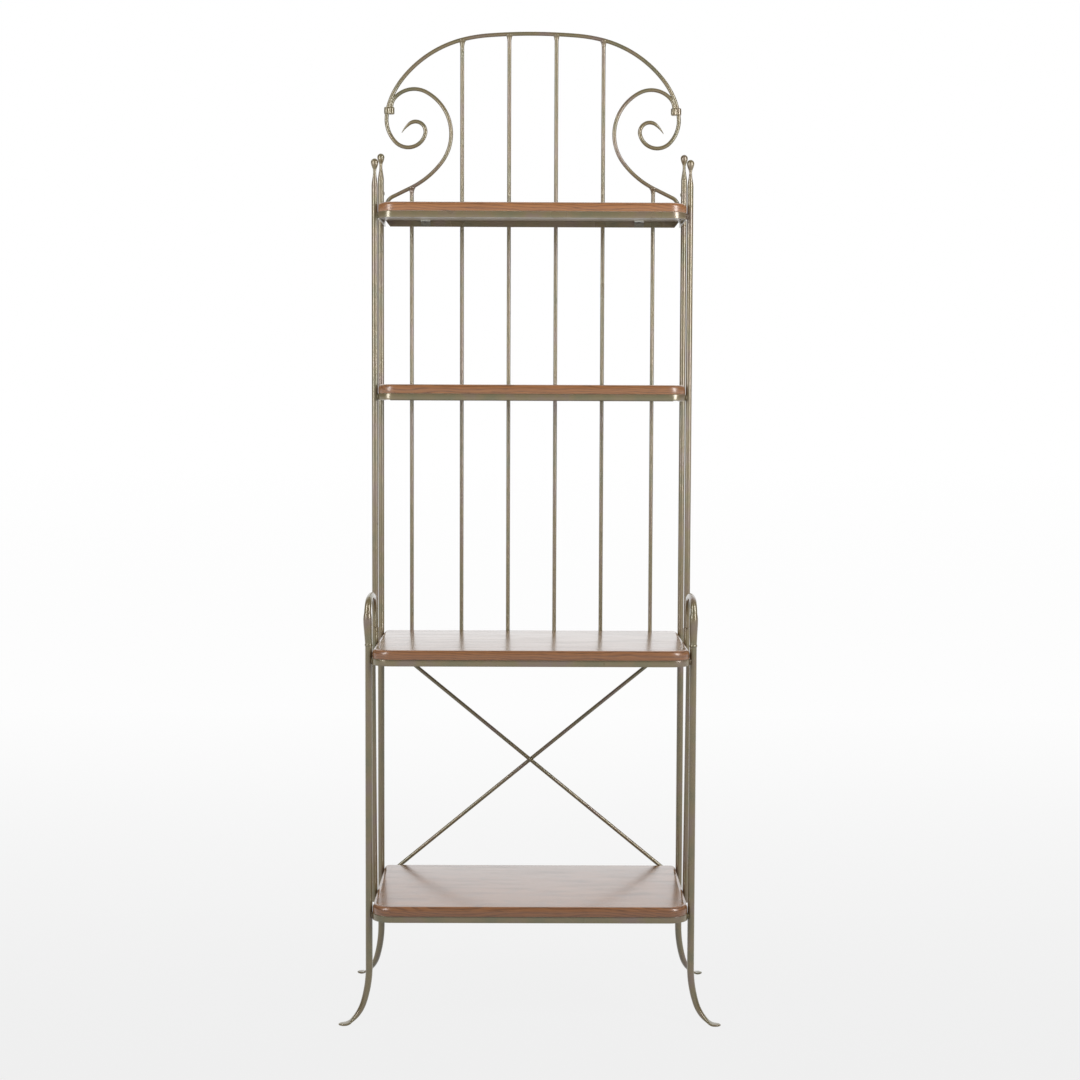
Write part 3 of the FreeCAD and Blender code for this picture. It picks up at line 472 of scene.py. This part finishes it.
# Flat-sawn oak with a brown stain under a sprayed gloss lacquer. It gives the eye a warm brown with
# the arched figure of growth rings cut at a slant, dark pores in the spring wood and a change of
# tone from stave to stave. The top mirrors the room softly, in streaks where the grain has sunk.
def stained_oak(name, top, seed, tint_and_shade):
    stave = 92
    year_ring = 5.2  # real rings are 2 to 3 wide, too fine to show from afar, so they are drawn this coarse
    # length, width, slide from board to board, detail and roughness of each pattern along the grain
    patterns = {
        "wander": (300, 80, 57, 2, 0.5),
        "ragged": (45, 4, 13, 3, 0.6),
        # real fibres and pores are 0.3 wide at most, too fine to show, so they are drawn this coarse
        "fibres": (80, 1.8, 0, 3, 0.6),
        "pores": (26, 0.6, 29, 2, 0.6),
        "sunken": (110, 16, 41, 3, 0.6),
    }
    made, tree = new_material(name)
    grain = {}
    for title, (long, wide, slide, detail, rough) in patterns.items():
        place = in_mm(tree, (long, wide, wide), (seed * slide, 0, 0))
        grain[title] = put(tree, "ShaderNodeTexNoise",
                           {"Vector": place, "Scale": 1, "Detail": detail, "Roughness": rough})["Fac"]

    # which stave a point is in, where across it, and that stave's own chances
    place = put(tree, "ShaderNodeSeparateXYZ", (in_mm(tree, shift=(seed * 731, 0, -top)),))
    count = put(tree, "ShaderNodeMath", (place["Y"], 1 / stave, seed * 7.31), operation="MULTIPLY_ADD")[0]
    whole = put(tree, "ShaderNodeMath", (count,), operation="FLOOR")[0]
    across = put(tree, "ShaderNodeMath", (count,), operation="FRACT")[0]
    chance = put(tree, "ShaderNodeTexWhiteNoise", {"W": whole}, noise_dimensions="1D")["Color"]
    own = put(tree, "ShaderNodeSeparateXYZ", (chance,))

    # distance from the pith, which lies a little aslant below the stave and wanders
    pith, play = 0.75, 0.5         # furthest across that it lies and how much nearer it may, in staves
    slant, roam, jag = 0.03, 60, 3
    beside = put(tree, "ShaderNodeMath", (across, -pith), operation="ADD")[0]
    beside = put(tree, "ShaderNodeMath", (own["Y"], play, beside), operation="MULTIPLY_ADD")[0]
    beside = put(tree, "ShaderNodeMath", (beside, stave), operation="MULTIPLY")[0]
    below = place["Z"]
    for part, amount in ((place["X"], slant), (grain["wander"], roam), (own["X"], roam)):
        below = put(tree, "ShaderNodeMath", (part, amount, below), operation="MULTIPLY_ADD")[0]
    plane = put(tree, "ShaderNodeCombineXYZ", {"X": beside, "Y": below})
    reach = put(tree, "ShaderNodeVectorMath", (plane[0],), operation="LENGTH")["Value"]
    reach = put(tree, "ShaderNodeMath", (grain["ragged"], jag, reach), operation="MULTIPLY_ADD")[0]
    years = put(tree, "ShaderNodeMath", (reach, 1 / year_ring), operation="MULTIPLY")[0]
    season = put(tree, "ShaderNodeMath", (years,), operation="FRACT")[0]
    spring_share = 0.3             # of a year's growth
    spring = put(tree, "ShaderNodeMath", (season, spring_share), operation="LESS_THAN")[0]

    figure = put(tree, "ShaderNodeValToRGB", (season,), stops=(
        (0, "#865a37"), (0.12, "#90623d"), (0.45, "#a27046"), (0.88, "#a6744a"), (1, "#8a5f3b")))["Color"]
    pitted = put(tree, "ShaderNodeValToRGB", (grain["pores"],), stops=((0.37, "#5b3c26"), (0.46, "#ffffff")))
    streaks = put(tree, "ShaderNodeValToRGB", (grain["fibres"],), stops=((0.3, "#e2d8d0"), (0.7, "#ffffff")))
    stave_tone = put(tree, "ShaderNodeValToRGB", (own["Z"],), stops=((0, "#e6ddd6"), (1, "#ffffff")))
    pore_share = put(tree, "ShaderNodeMath", (spring, 0.35, 0.3), operation="MULTIPLY_ADD")[0]
    colour = figure
    # the last layer is the board's tint: partly its own stain, partly painted shade on the lower boards
    for share, layer in ((pore_share, pitted["Color"]), (0.7, streaks["Color"]), (0.9, stave_tone["Color"]),
                         (1.0, tone(tint_and_shade))):
        colour = put(tree, "ShaderNodeMix", {0: share, 6: colour, 7: layer},
                     data_type="RGBA", blend_type="MULTIPLY")[2]
    arris = 0.3                    # the lowest part of the edge is as pale as the underside
    under = put(tree, "ShaderNodeMath", (place["Z"], arris - BOARD), operation="LESS_THAN")[0]
    colour = put(tree, "ShaderNodeMix", {0: under, 6: colour, 7: tone("#f0e4d4")}, data_type="RGBA")[2]

    # on the top face the lacquer lies flat and glossy, but for dark streaks where the grain has sunk
    normal = put(tree, "ShaderNodeNewGeometry")["Normal"]
    facing = put(tree, "ShaderNodeSeparateXYZ", (normal,))["Z"]
    depth = put(tree, "ShaderNodeMapRange", (grain["sunken"], 0.54, 0.7, 0, 0.45))["Result"]
    streak = put(tree, "ShaderNodeMix", {0: depth, 6: tone("#ffffff"), 7: tone("#5a4638")},
                 data_type="RGBA")[2]
    on_top = put(tree, "ShaderNodeMapRange", (facing, 0.9, 1, 0, 1))["Result"]
    colour = put(tree, "ShaderNodeMix", {0: on_top, 6: colour, 7: streak},
                 data_type="RGBA", blend_type="MULTIPLY")[2]
    dull = put(tree, "ShaderNodeMapRange", (facing, 0.8, 0.98, 0.3, 0))["Result"]
    uneven = put(tree, "ShaderNodeMapRange", (grain["sunken"], 0.42, 0.66, 0.15, 0.25))["Result"]
    roughness = put(tree, "ShaderNodeMath", (dull, uneven), operation="ADD")[0]
    open_pores = put(tree, "ShaderNodeBump", {"Strength": 0.3, "Distance": 0.00005, "Height": grain["pores"]})
    shader = put(tree, "ShaderNodeBsdfPrincipled", {
        "Base Color": colour, "Roughness": roughness, "Coat Weight": 1.0, "Coat Roughness": 0.25,
        "Normal": open_pores["Normal"]})
    put(tree, "ShaderNodeOutputMaterial", {"Surface": shader[0]})
    return made


def board_outline(front, corner, inset):
    """The board's edge in plan, drawn in by the inset."""
    points = []
    for x, y, radius, start in ((BOARD_X, RAIL_BACK, BACK_CORNER, 0), (-BOARD_X, RAIL_BACK, BACK_CORNER, 90),
                                (-BOARD_X, front, corner, 180), (BOARD_X, front, corner, 270)):
        middle = Vector((x - math.copysign(radius, x), y - radius if start < 180 else y + radius, 0))
        for k in range(EDGE_STEPS + 1):
            angle = math.radians(start + 90 * k / EDGE_STEPS)
            points.append(middle + Vector((math.cos(angle), math.sin(angle), 0)) * (radius - inset))
    return points


for (number, top, front, corner), tint_and_shade in zip(SHELVES, BOARD_TINTS_AND_SHADE):
    oak = stained_oak("stained_oak_%d" % number, top, number, tint_and_shade)
    loops = [[p + UP * (top + below) for p in board_outline(front, corner, inset)] for inset, below in EDGE]
    finished("shelf_%d_oak" % number, stacked(loops), oak, "oak", "shelf_%d_board" % number, sharp=50)


# ---- board clips and screws
# Two small angles of sheet steel stand in front of each back rail, one leg welded to it and painted a dull
# brown as painted shade under the board, the other flat under the board and bare zinc. A black pan-head screw
# goes up through it.
CLIP_X, CLIP_HALF = 227, 10                          # its middle from the rack's, and half its width
CLIP_LONG, CLIP_LOW, SHEET = 14, -11.7, 2.4          # reach of each leg, and thickness
# an angle from the side, its corner bent round: distance in front of the rail, and height against
# the rail's top
CLIP = [(0, CLIP_LOW), (SHEET, CLIP_LOW), (SHEET, -4.2), (2.85, -3.0), (3.95, -SHEET),
        (CLIP_LONG, -SHEET), (CLIP_LONG, 0), (2.15, 0), (0.75, -0.7), (0, -2.2)]
# radius and height of a pan head that faces down, from its round recess out
SCREW_Y = 164.95
SCREW = [(0.3, -0.9), (1.2, -0.9), (1.5, -2.1), (2.4, -2.15), (3.2, -1.7), (3.6, -0.8), (3.6, 0), (0.3, 0)]
PLAIN = (1, 1, 1)


# Zinc plate gives the eye a pale grey with faint crystal patches and a broken gloss. Black phosphate
# on the screws is a dark, dry grey with the same patches. What is close to the rail is painted the
# dull brown of the powder coat: painted shade for the shade that falls there under the board.
def plated_steel(name, dark, light):
    patch, shade_mottle, gloss = 3, 4, 2
    made, tree = new_material(name)
    place = in_mm(tree)
    patched = put(tree, "ShaderNodeTexNoise", {"Vector": place, "Scale": 1 / patch, "Detail": 3})["Fac"]
    shade_mottled = put(tree, "ShaderNodeTexNoise", {"Vector": place, "Scale": 1 / shade_mottle, "Detail": 3})["Fac"]
    glossed = put(tree, "ShaderNodeTexNoise", {"Vector": place, "Scale": 1 / gloss, "Detail": 2})["Fac"]
    plate = put(tree, "ShaderNodeValToRGB", (patched,), stops=((0.35, dark), (0.65, light)))["Color"]
    # the dull brown of the painted shade by the rail, mottled like the powder coat
    coat = put(tree, "ShaderNodeValToRGB", (shade_mottled,), stops=((0.35, "#68655a"), (0.65, "#7b766a")))["Color"]
    depth = put(tree, "ShaderNodeSeparateXYZ", (place,))["Y"]
    bare, covered = 167.5, 169     # where the painted shade begins, and from where it hides the plate
    # painted shade: toward the rail the plate turns to this brown
    shade_by_rail = put(tree, "ShaderNodeMapRange", (depth, bare, covered, 0, 1))["Result"]
    colour = put(tree, "ShaderNodeMix", {0: shade_by_rail, 6: plate, 7: coat}, data_type="RGBA")[2]
    roughness = put(tree, "ShaderNodeMapRange", (glossed, 0, 1, 0.28, 0.45))["Result"]
    shader = put(tree, "ShaderNodeBsdfPrincipled",
                 {"Base Color": colour, "Metallic": 0.4, "Roughness": roughness})
    put(tree, "ShaderNodeOutputMaterial", {"Surface": shader[0]})
    return made


def repeated_tree(name, material):
    """The seed's model on each of the seed's spots, stretched and then pushed about in small lumps."""
    tree, given = new_tree(name, Unevenness=0.0, Lump=0.004)
    marked = put(tree, "GeometryNodeInputNamedAttribute", {"Name": "spot"}, data_type="BOOLEAN")["Attribute"]
    stretch = put(tree, "GeometryNodeInputNamedAttribute", {"Name": "stretch"}, data_type="FLOAT_VECTOR")
    spots, model = put(tree, "GeometryNodeSeparateGeometry",
                       {"Geometry": given["Geometry"], "Selection": marked}, domain="POINT")
    row = put(tree, "GeometryNodeInstanceOnPoints",
              {"Points": spots, "Instance": model, "Scale": stretch["Attribute"]})
    real = put(tree, "GeometryNodeRealizeInstances", (row[0],))
    scale = put(tree, "ShaderNodeMath", (1.0, given["Lump"]), operation="DIVIDE")[0]
    lumps = put(tree, "ShaderNodeTexNoise", {"Scale": scale, "Detail": 1.0})["Color"]
    centred = put(tree, "ShaderNodeVectorMath", (lumps, (0.5, 0.5, 0.5)), operation="SUBTRACT")[0]
    push = put(tree, "ShaderNodeVectorMath", {0: centred, "Scale": given["Unevenness"]}, operation="SCALE")[0]
    uneven = put(tree, "GeometryNodeSetPosition", {"Geometry": real[0], "Offset": push})
    return coat_and_close(tree, uneven[0], material)


def on_spots(model, spots):
    """A seed for a repeated tree: the model's mesh, with spots of (point, stretch) beside it."""
    work = bmesh.new()
    work.from_mesh(model)
    own = len(work.verts)
    for point, stretch in spots:
        work.verts.new(Vector(point) / 1000)
    seed = bpy.data.meshes.new("seed")
    work.to_mesh(seed)
    work.free()
    for title, kind in (("spot", "BOOLEAN"), ("stretch", "FLOAT_VECTOR")):
        seed.attributes.new(title, kind, "POINT")
    for k, (point, stretch) in enumerate(spots):
        seed.attributes["spot"].data[own + k].value = True
        seed.attributes["stretch"].data[own + k].vector = stretch
    return seed


def turned(profile, step):
    """A solid turned round an upright axis from a profile of (radius, height), a side every step degrees."""
    around = [Vector((math.cos(math.radians(a)), math.sin(math.radians(a)), 0)) for a in range(0, 360, step)]
    return stacked([[way * radius + UP * height for way in around] for radius, height in profile])


zinc = plated_steel("zinc_plate", "#cccfc8", "#eceee8")
black = plated_steel("black_phosphate", "#45433d", "#57544c")
clip_row = repeated_tree("clip_row", zinc)
clip = stacked([[Vector((x, RAIL_FRONT - out, high)) for out, high in CLIP] for x in (-CLIP_HALF, CLIP_HALF)])
screws = []
for number, top, front, corner in SHELVES:
    clips = [((sign * CLIP_X, 0, top - BOARD), PLAIN) for side, sign in SIDES]
    screws += [((sign * CLIP_X, SCREW_Y, top - BOARD - SHEET), PLAIN) for side, sign in SIDES]
    finished("shelf_%d_clip_pair" % number, grown(on_spots(clip, clips), clip_row), zinc, "screws",
             "shelf_%d_clips" % number)
screw_row = repeated_tree("screw_row", black)
finished("clip_screw_heads", grown(on_spots(turned(SCREW, 20), screws), screw_row), black, "screws",
         "clip_screws")


# ---- arched crown
# One round bar is bent to a flat arch whose ends curl inward to drawn-out points. A scroll on each
# side springs from a collar on the arch, turns over inward and comes back out to the rear post, where
# it is welded above the top shelf.
ARCH_BAR, ROD = 4.3, 4.2                             # radius of the arch's bar and of all thinner rod
ROD_Y = RAIL_BACK + ROD - 0.05                       # the rod bites a little into what it is welded to
ARCH_TOP = 2027.7
ARCH = [(1203, 4.5), (328, 8.9), (240, 37.8), (175.5, 13.3), (136, 20), (68, 48.7), (37.5, 122.5), (21, 115),
        (21, 29.8), (74, 19.2)]
# the drawn-out point: distance from where it begins, and radius
TIP = 35.7
TAPER = [(0, ARCH_BAR), (5.5, 4.0), (11, 3.5), (19, 2.6), (27, 1.6), (33, 0.9), (TIP, 0.45)]
SCROLL_X, SCROLL_Z = 300.4, 1857                     # where the scroll leaves the collar, going up
SCROLL = [(15,), (31.4, 42.6), (54.7, 75.2), (99.2, 99.8), (186, 26.2), (43.5,)]
SCROLL_TAIL = [(22, 37), (30,)]                      # it bends the other way, down along the post

halves = {}
for side, sign in SIDES:
    spots = walk(Vector((0, ROD_Y, ARCH_TOP)), RIGHT * sign, DOWN, ARCH, 3)
    along = lengths(spots)
    bar = [(0, ARCH_BAR)] + [(along[-1] - TIP + far, radius) for far, radius in TAPER]
    halves[side] = [ring(point, ahead * sign, inward, between(bar, far), between(bar, far), 24)
                    for (point, ahead, inward), far in zip(spots, along)]
arch = list(reversed(halves["left"][1:])) + halves["right"]
finished("crown_arch_forged", stacked(arch), steel_finish, "steel", "crown_arch")

for side, sign in SIDES:
    spots = walk(Vector((sign * SCROLL_X, ROD_Y, SCROLL_Z)), UP, RIGHT * -sign, SCROLL, 3)
    end, ahead, inward = spots[-1]
    spots += walk(end, ahead, inward * -1, SCROLL_TAIL, 3)[1:]
    finished("crown_scroll_forged_" + side, stacked(round_bar(spots, ROD, 24)), steel_finish, "steel",
             "crown_scroll_" + side)


# ---- collars
# A strap of flat bar, closed hot round the arch and the end of the scroll so that it follows both,
# holds them side by side.
STRAP_X, STRAP_Z = 304.7, 1865
STRAP_REACH, BAR_OFFSET = 6.85, 4.25                 # outer radius round each bar, and each bar's offset
# height against the strap's middle, and how far its soft edge is drawn in
STRAP = ((-7.25, 1.1), (-7.0, 0.5), (-6.3, 0.05), (-3, 0), (3, 0), (6.3, 0.05), (7.0, 0.5), (7.25, 1.1))


def strap_outline(sign, inset):
    """Plan of the strap: two lobes with a valley between them."""
    points, sides = [], 48
    for k in range(sides):
        angle = 2 * math.pi * k / sides
        ray = Vector((math.cos(angle), math.sin(angle), 0))
        reaches = []
        for lobe in (-BAR_OFFSET, BAR_OFFSET):
            half_chord = math.sqrt(max(0, (STRAP_REACH - inset) ** 2 - (ray.y * lobe) ** 2))
            reaches.append(ray.x * lobe + half_chord)
        points.append(Vector((sign * STRAP_X, ROD_Y, 0)) + ray * max(reaches))
    return points


for side, sign in SIDES:
    loops = [[p + UP * (STRAP_Z + rise) for p in strap_outline(sign, inset)] for rise, inset in STRAP]
    finished("crown_strap_" + side, stacked(loops), steel_finish, "steel", "crown_collar_" + side)


# ---- spindles
# Six straight rods stand behind the shelves from the work shelf's rail up into the crown. A cone
# of weld closes each joint under the crown bar.
CONE = [(4.1, -4.5), (4.5, -3.2), (4.8, -1), (5.2, 1.2), (5.9, 3.4), (7.0, 5.4), (8.0, 6.8), (8.1, 8.2),
        (7.2, 9.0)]                                  # radius and height of the cone
CONE_DROP = 8.5                                      # of its foot below the rod's upper end
ROD_GAP = 0.001                                      # metres by which a rod ends short of its CAD node
UNEVEN = 0.0012                                      # metres from dent to lump on a weld's skin

names = ["spindle_%s_%s" % (word, side) for word in ("inner", "middle", "outer") for side, sign in SIDES]
rods, cones = [], []
for name in names:
    low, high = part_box(name)
    x = (low.x + high.x) / 2 * 1000
    rods.append(((x, ROD_Y, low.z * 1000), (1, 1, high.z - low.z - ROD_GAP)))
    cones.append(((x, ROD_Y, high.z * 1000 - CONE_DROP), PLAIN))
steel_row = repeated_tree("steel_row", steel_finish)
metre_of_rod = turned([(ROD, 1000 * k / 8) for k in range(9)], 15)
finished("spindle_row", grown(on_spots(metre_of_rod, rods), steel_row), steel_finish, "steel", *names)
finished("crown_weld_cones", grown(on_spots(turned(CONE, 20), cones), steel_row, Unevenness=UNEVEN),
         steel_finish, "steel", "crown_welds", sharp=60)


# ---- X brace
# Two rods cross behind the lower bay, welded to the backs of the rear legs. One is straight, the
# other bows back to pass behind it.
CROSSING = 475                                       # its height
BRACE_RISE = 528                                     # from one end of a rod to the other
BRACE_BOW = 8.35


def brace_spots(rise, bow):
    """From the left post to the right one. Rise is how far up the right end is, bow how far back."""
    left = Vector((-POST_X, ROD_Y, CROSSING - rise / 2))
    right = Vector((POST_X, ROD_Y, CROSSING + rise / 2))
    way = (right - left).normalized()
    level = way.cross(BACK)
    spots, spans = [], 40
    for k in range(spans + 1):
        t = 2 * k / spans - 1
        point = (left + right) / 2 + (right - left) * (t / 2) + BACK * (bow * (1 - t * t))
        slope = BACK * (-2 * t * bow / ((right - left).length / 2))
        spots.append((point, (way + slope).normalized(), level))
    return spots


for name, node, rise, bow in (("brace_rod_straight", "brace_front_rod", -BRACE_RISE, 0),
                              ("brace_rod_bowed", "brace_back_rod", BRACE_RISE, BRACE_BOW)):
    finished(name, stacked(round_bar(brace_spots(rise, bow), ROD, 24)), steel_finish, "steel", node)


# ---- weld beads
# Short fillets of weld, coated over with the rest, run up both sides of each joint between a round
# bar and a flat one. Rounder beads close the ends of the brace and of the scrolls, and the crossing.
BEAD_X, BEAD_Y = 316.6, 177.2                        # beside the bands, and behind the rails
POST_SIDE, ROD_SIDE = 3.7, 2.9                       # from the middle of a post or a rod to its beads
BRACE_END_X, BRACE_END_Y = 317, 178
BRACE_END_HIGH, BRACE_END_LOW = 735, 215
TAIL_X, TAIL_Y, TAIL_Z = 317.5, 177.5, 1690          # where a scroll's tail meets its post
SPINDLES_X = (50, 150, 257)                          # from the middle of the rack to each spindle
LUMP = 0.003                                         # size in metres of the lumps on a bead's skin
# half sizes in metres
POST_BEAD = (0.0013, 0.0015, 0.0058)
ROD_BEAD = (0.0012, 0.0011, 0.0052)
END_BEAD = (0.004, 0.003, 0.0045)
CROSSING_BEAD = (0.0055, 0.0022, 0.0046)
TAIL_BEAD = (0.003, 0.0028, 0.005)

beads = []
for number, top, front, corner in SHELVES:
    bars = [REAR_POST_Y]
    if number < 4:
        bars.append(FRONT_POST_Y)
    if number > 2:
        bars += [FRONT_LEG_Y, STAY_HEAD_Y if number == 3 else STAY_FOOT_Y]
    middle = top - BOARD - BAND_HIGH / 2
    beads += [((sign * BEAD_X, y + away * POST_SIDE, middle), POST_BEAD)
              for side, sign in SIDES for y in bars for away in (-1, 1)]
    if number < 4:
        beads += [((sign * x + away * ROD_SIDE, BEAD_Y, middle), ROD_BEAD)
                  for x in SPINDLES_X for side, sign in SIDES for away in (-1, 1)]
for side, sign in SIDES:
    beads += [((sign * BRACE_END_X, BRACE_END_Y, z), END_BEAD) for z in (BRACE_END_HIGH, BRACE_END_LOW)]
    beads.append(((sign * TAIL_X, TAIL_Y, TAIL_Z), TAIL_BEAD))
beads.append(((0, ROD_Y + ROD, CROSSING), CROSSING_BEAD))

profile = []
for degrees in (8, 35, 62, 90, 118, 145, 172):
    angle = math.radians(degrees)
    profile.append((1000 * math.sin(angle), -1000 * math.cos(angle)))
bead_row = grown(on_spots(turned(profile, 36), beads), steel_row, Unevenness=UNEVEN, Lump=LUMP)
finished("joint_weld_beads", bead_row, steel_finish, "steel", sharp=80)


# ---- studio
# A wide pale floor that runs back to a white surround, with two tall softboxes set high at the
# front corners. All sizes here are in metres.
FLOOR_HALF = 90
# the floor pales with distance: how far behind the rack, and its tone
FLOOR_TONES = ((-1, "#f3f3f3"), (0, "#f5f5f5"), (0.73, "#f8f8f8"), (1.26, "#f9f9f9"), (2.77, "#fcfcfc"),
               (3.9, "#fdfdfd"), (7.8, "#fdfdfd"), (19, "#fefefe"), (40, "#ffffff"))
NEAR, FAR = FLOOR_TONES[0][0], FLOOR_TONES[-1][0]
ROUND = 3.2                                          # all round, it is as pale here as beside the rack


def stage_floor():
    """Matte grey paper that takes the shadow, seen by camera, gloss and glass mostly as its own tone."""
    made, tree = new_material("studio_floor")
    place = put(tree, "ShaderNodeTexCoord")["Object"]
    behind = put(tree, "ShaderNodeSeparateXYZ", (place,))["Y"]
    away = put(tree, "ShaderNodeVectorMath", (place,), operation="LENGTH")["Value"]
    around = put(tree, "ShaderNodeMath", (away, ROUND), operation="SUBTRACT")[0]
    depth = put(tree, "ShaderNodeMath", (behind, around), operation="MAXIMUM")[0]
    far = put(tree, "ShaderNodeMapRange", (depth, NEAR, FAR, 0, 1))["Result"]
    stops = [((where - NEAR) / (FAR - NEAR), code) for where, code in FLOOR_TONES]
    paper = put(tree, "ShaderNodeValToRGB", (far,), stops)["Color"]
    glow = put(tree, "ShaderNodeEmission", {"Color": paper})
    matte = put(tree, "ShaderNodeBsdfDiffuse", {"Color": tone("#7c7c7c")})
    ray = put(tree, "ShaderNodeLightPath")
    seen = put(tree, "ShaderNodeMath", (ray["Is Camera Ray"], ray["Is Glossy Ray"]), operation="MAXIMUM")[0]
    seen = put(tree, "ShaderNodeMath", (seen, ray["Is Transmission Ray"]), operation="MAXIMUM")[0]
    share = put(tree, "ShaderNodeMapRange", (depth, 0.6, 4.0, 0.94, 1.0))["Result"]
    amount = put(tree, "ShaderNodeMath", (seen, share), operation="MULTIPLY")[0]
    mixed = put(tree, "ShaderNodeMixShader", (amount, matte[0], glow[0]))
    put(tree, "ShaderNodeOutputMaterial", {"Surface": mixed[0]})
    mesh = bpy.data.meshes.new("floor")
    corners = [(-1, -1), (1, -1), (1, 1), (-1, 1)]
    mesh.from_pydata([(x * FLOOR_HALF, y * FLOOR_HALF, 0) for x, y in corners], [], [(0, 1, 2, 3)])
    mesh.materials.append(made)
    floor = bpy.data.objects.new("floor", mesh)
    bpy.context.scene.collection.objects.link(floor)


def surround():
    """White where the camera looks and where gloss shows the backdrop, soft grey light all round."""
    world = bpy.data.worlds.new("studio")
    bpy.context.scene.world = world
    world.use_nodes = True
    tree = world.node_tree
    tree.nodes.clear()
    ray = put(tree, "ShaderNodeLightPath")
    seen = put(tree, "ShaderNodeMath", (ray["Is Camera Ray"], ray["Is Transmission Ray"]),
               operation="MAXIMUM")[0]
    direction = put(tree, "ShaderNodeTexCoord")["Generated"]
    way = put(tree, "ShaderNodeSeparateXYZ", (direction,))
    # gloss shows the white backdrop behind and above the rack, and a dark room at its front and sides
    toward = put(tree, "ShaderNodeMath", (way["Z"], 0.5, way["Y"]), operation="MULTIPLY_ADD")[0]
    backdrop = put(tree, "ShaderNodeMapRange", (toward, 0.68, 0.84, 0, 1))["Result"]
    glossy = put(tree, "ShaderNodeMath", (backdrop, ray["Is Glossy Ray"]), operation="MULTIPLY")[0]
    amount = put(tree, "ShaderNodeMath", (seen, glossy), operation="MAXIMUM")[0]
    in_gloss = put(tree, "ShaderNodeMapRange", (way["Y"], -0.97, -0.7, 0.32, 0.06))["Result"]
    on_matte = put(tree, "ShaderNodeMapRange", (way["Y"], 0, 0.5, 0.24, 0.8))["Result"]
    strength = put(tree, "ShaderNodeMix", {0: ray["Is Glossy Ray"], 2: on_matte, 3: in_gloss},
                   data_type="FLOAT")[0]
    room = put(tree, "ShaderNodeBackground", {"Color": (1, 1, 1, 1), "Strength": strength})
    white = put(tree, "ShaderNodeBackground", {"Color": (1, 1, 1, 1), "Strength": 1})
    mixed = put(tree, "ShaderNodeMixShader", (amount, room[0], white[0]))
    put(tree, "ShaderNodeOutputWorld", {"Surface": mixed[0]})


def softbox(name, azimuth, power):
    """A tall rectangular lamp. Azimuth is in degrees from straight in front, positive to the right."""
    distance, height, wide, high, aim = 2.4, 2.05, 0.65, 2.2, 1.6
    lamp = bpy.data.lights.new(name, "AREA")
    lamp.shape = "RECTANGLE"
    lamp.size = wide
    lamp.size_y = high
    lamp.energy = power
    holder = bpy.data.objects.new(name, lamp)
    turn = math.radians(azimuth)
    spot = Vector((math.sin(turn) * distance, -math.cos(turn) * distance, height))
    holder.location = spot
    holder.rotation_euler = (Vector((0, 0, aim)) - spot).to_track_quat("-Z", "Y").to_euler()
    bpy.context.scene.collection.objects.link(holder)


stage_floor()
surround()
softbox("softbox_left", -50, 51)
softbox("softbox_right", 50, 66)


# ---- camera A long lens at chest height, straight in front and tipped down a little.
VIEW_WIDE, FOCAL = 1080, 1998                        # width of the view and focal length, in pixels
SENSOR = 36
CAMERA_AT = (-0.00369, -4.1145, 1.22505)             # metres
YAW, PITCH, ROLL_OVER = -0.00524, -0.06338, 0.0038   # radians

camera = bpy.data.cameras.new("camera")
camera.sensor_width = SENSOR
camera.lens = FOCAL / VIEW_WIDE * SENSOR
holder = bpy.data.objects.new("camera", camera)
aim = Matrix.Rotation(YAW, 4, "Z") @ Matrix.Rotation(math.pi / 2 + PITCH, 4, "X")
holder.matrix_world = Matrix.Translation(CAMERA_AT) @ aim @ Matrix.Rotation(ROLL_OVER, 4, "Z")
bpy.context.scene.collection.objects.link(holder)
bpy.context.scene.camera = holder
bpy.context.scene.view_settings.view_transform = "Standard"
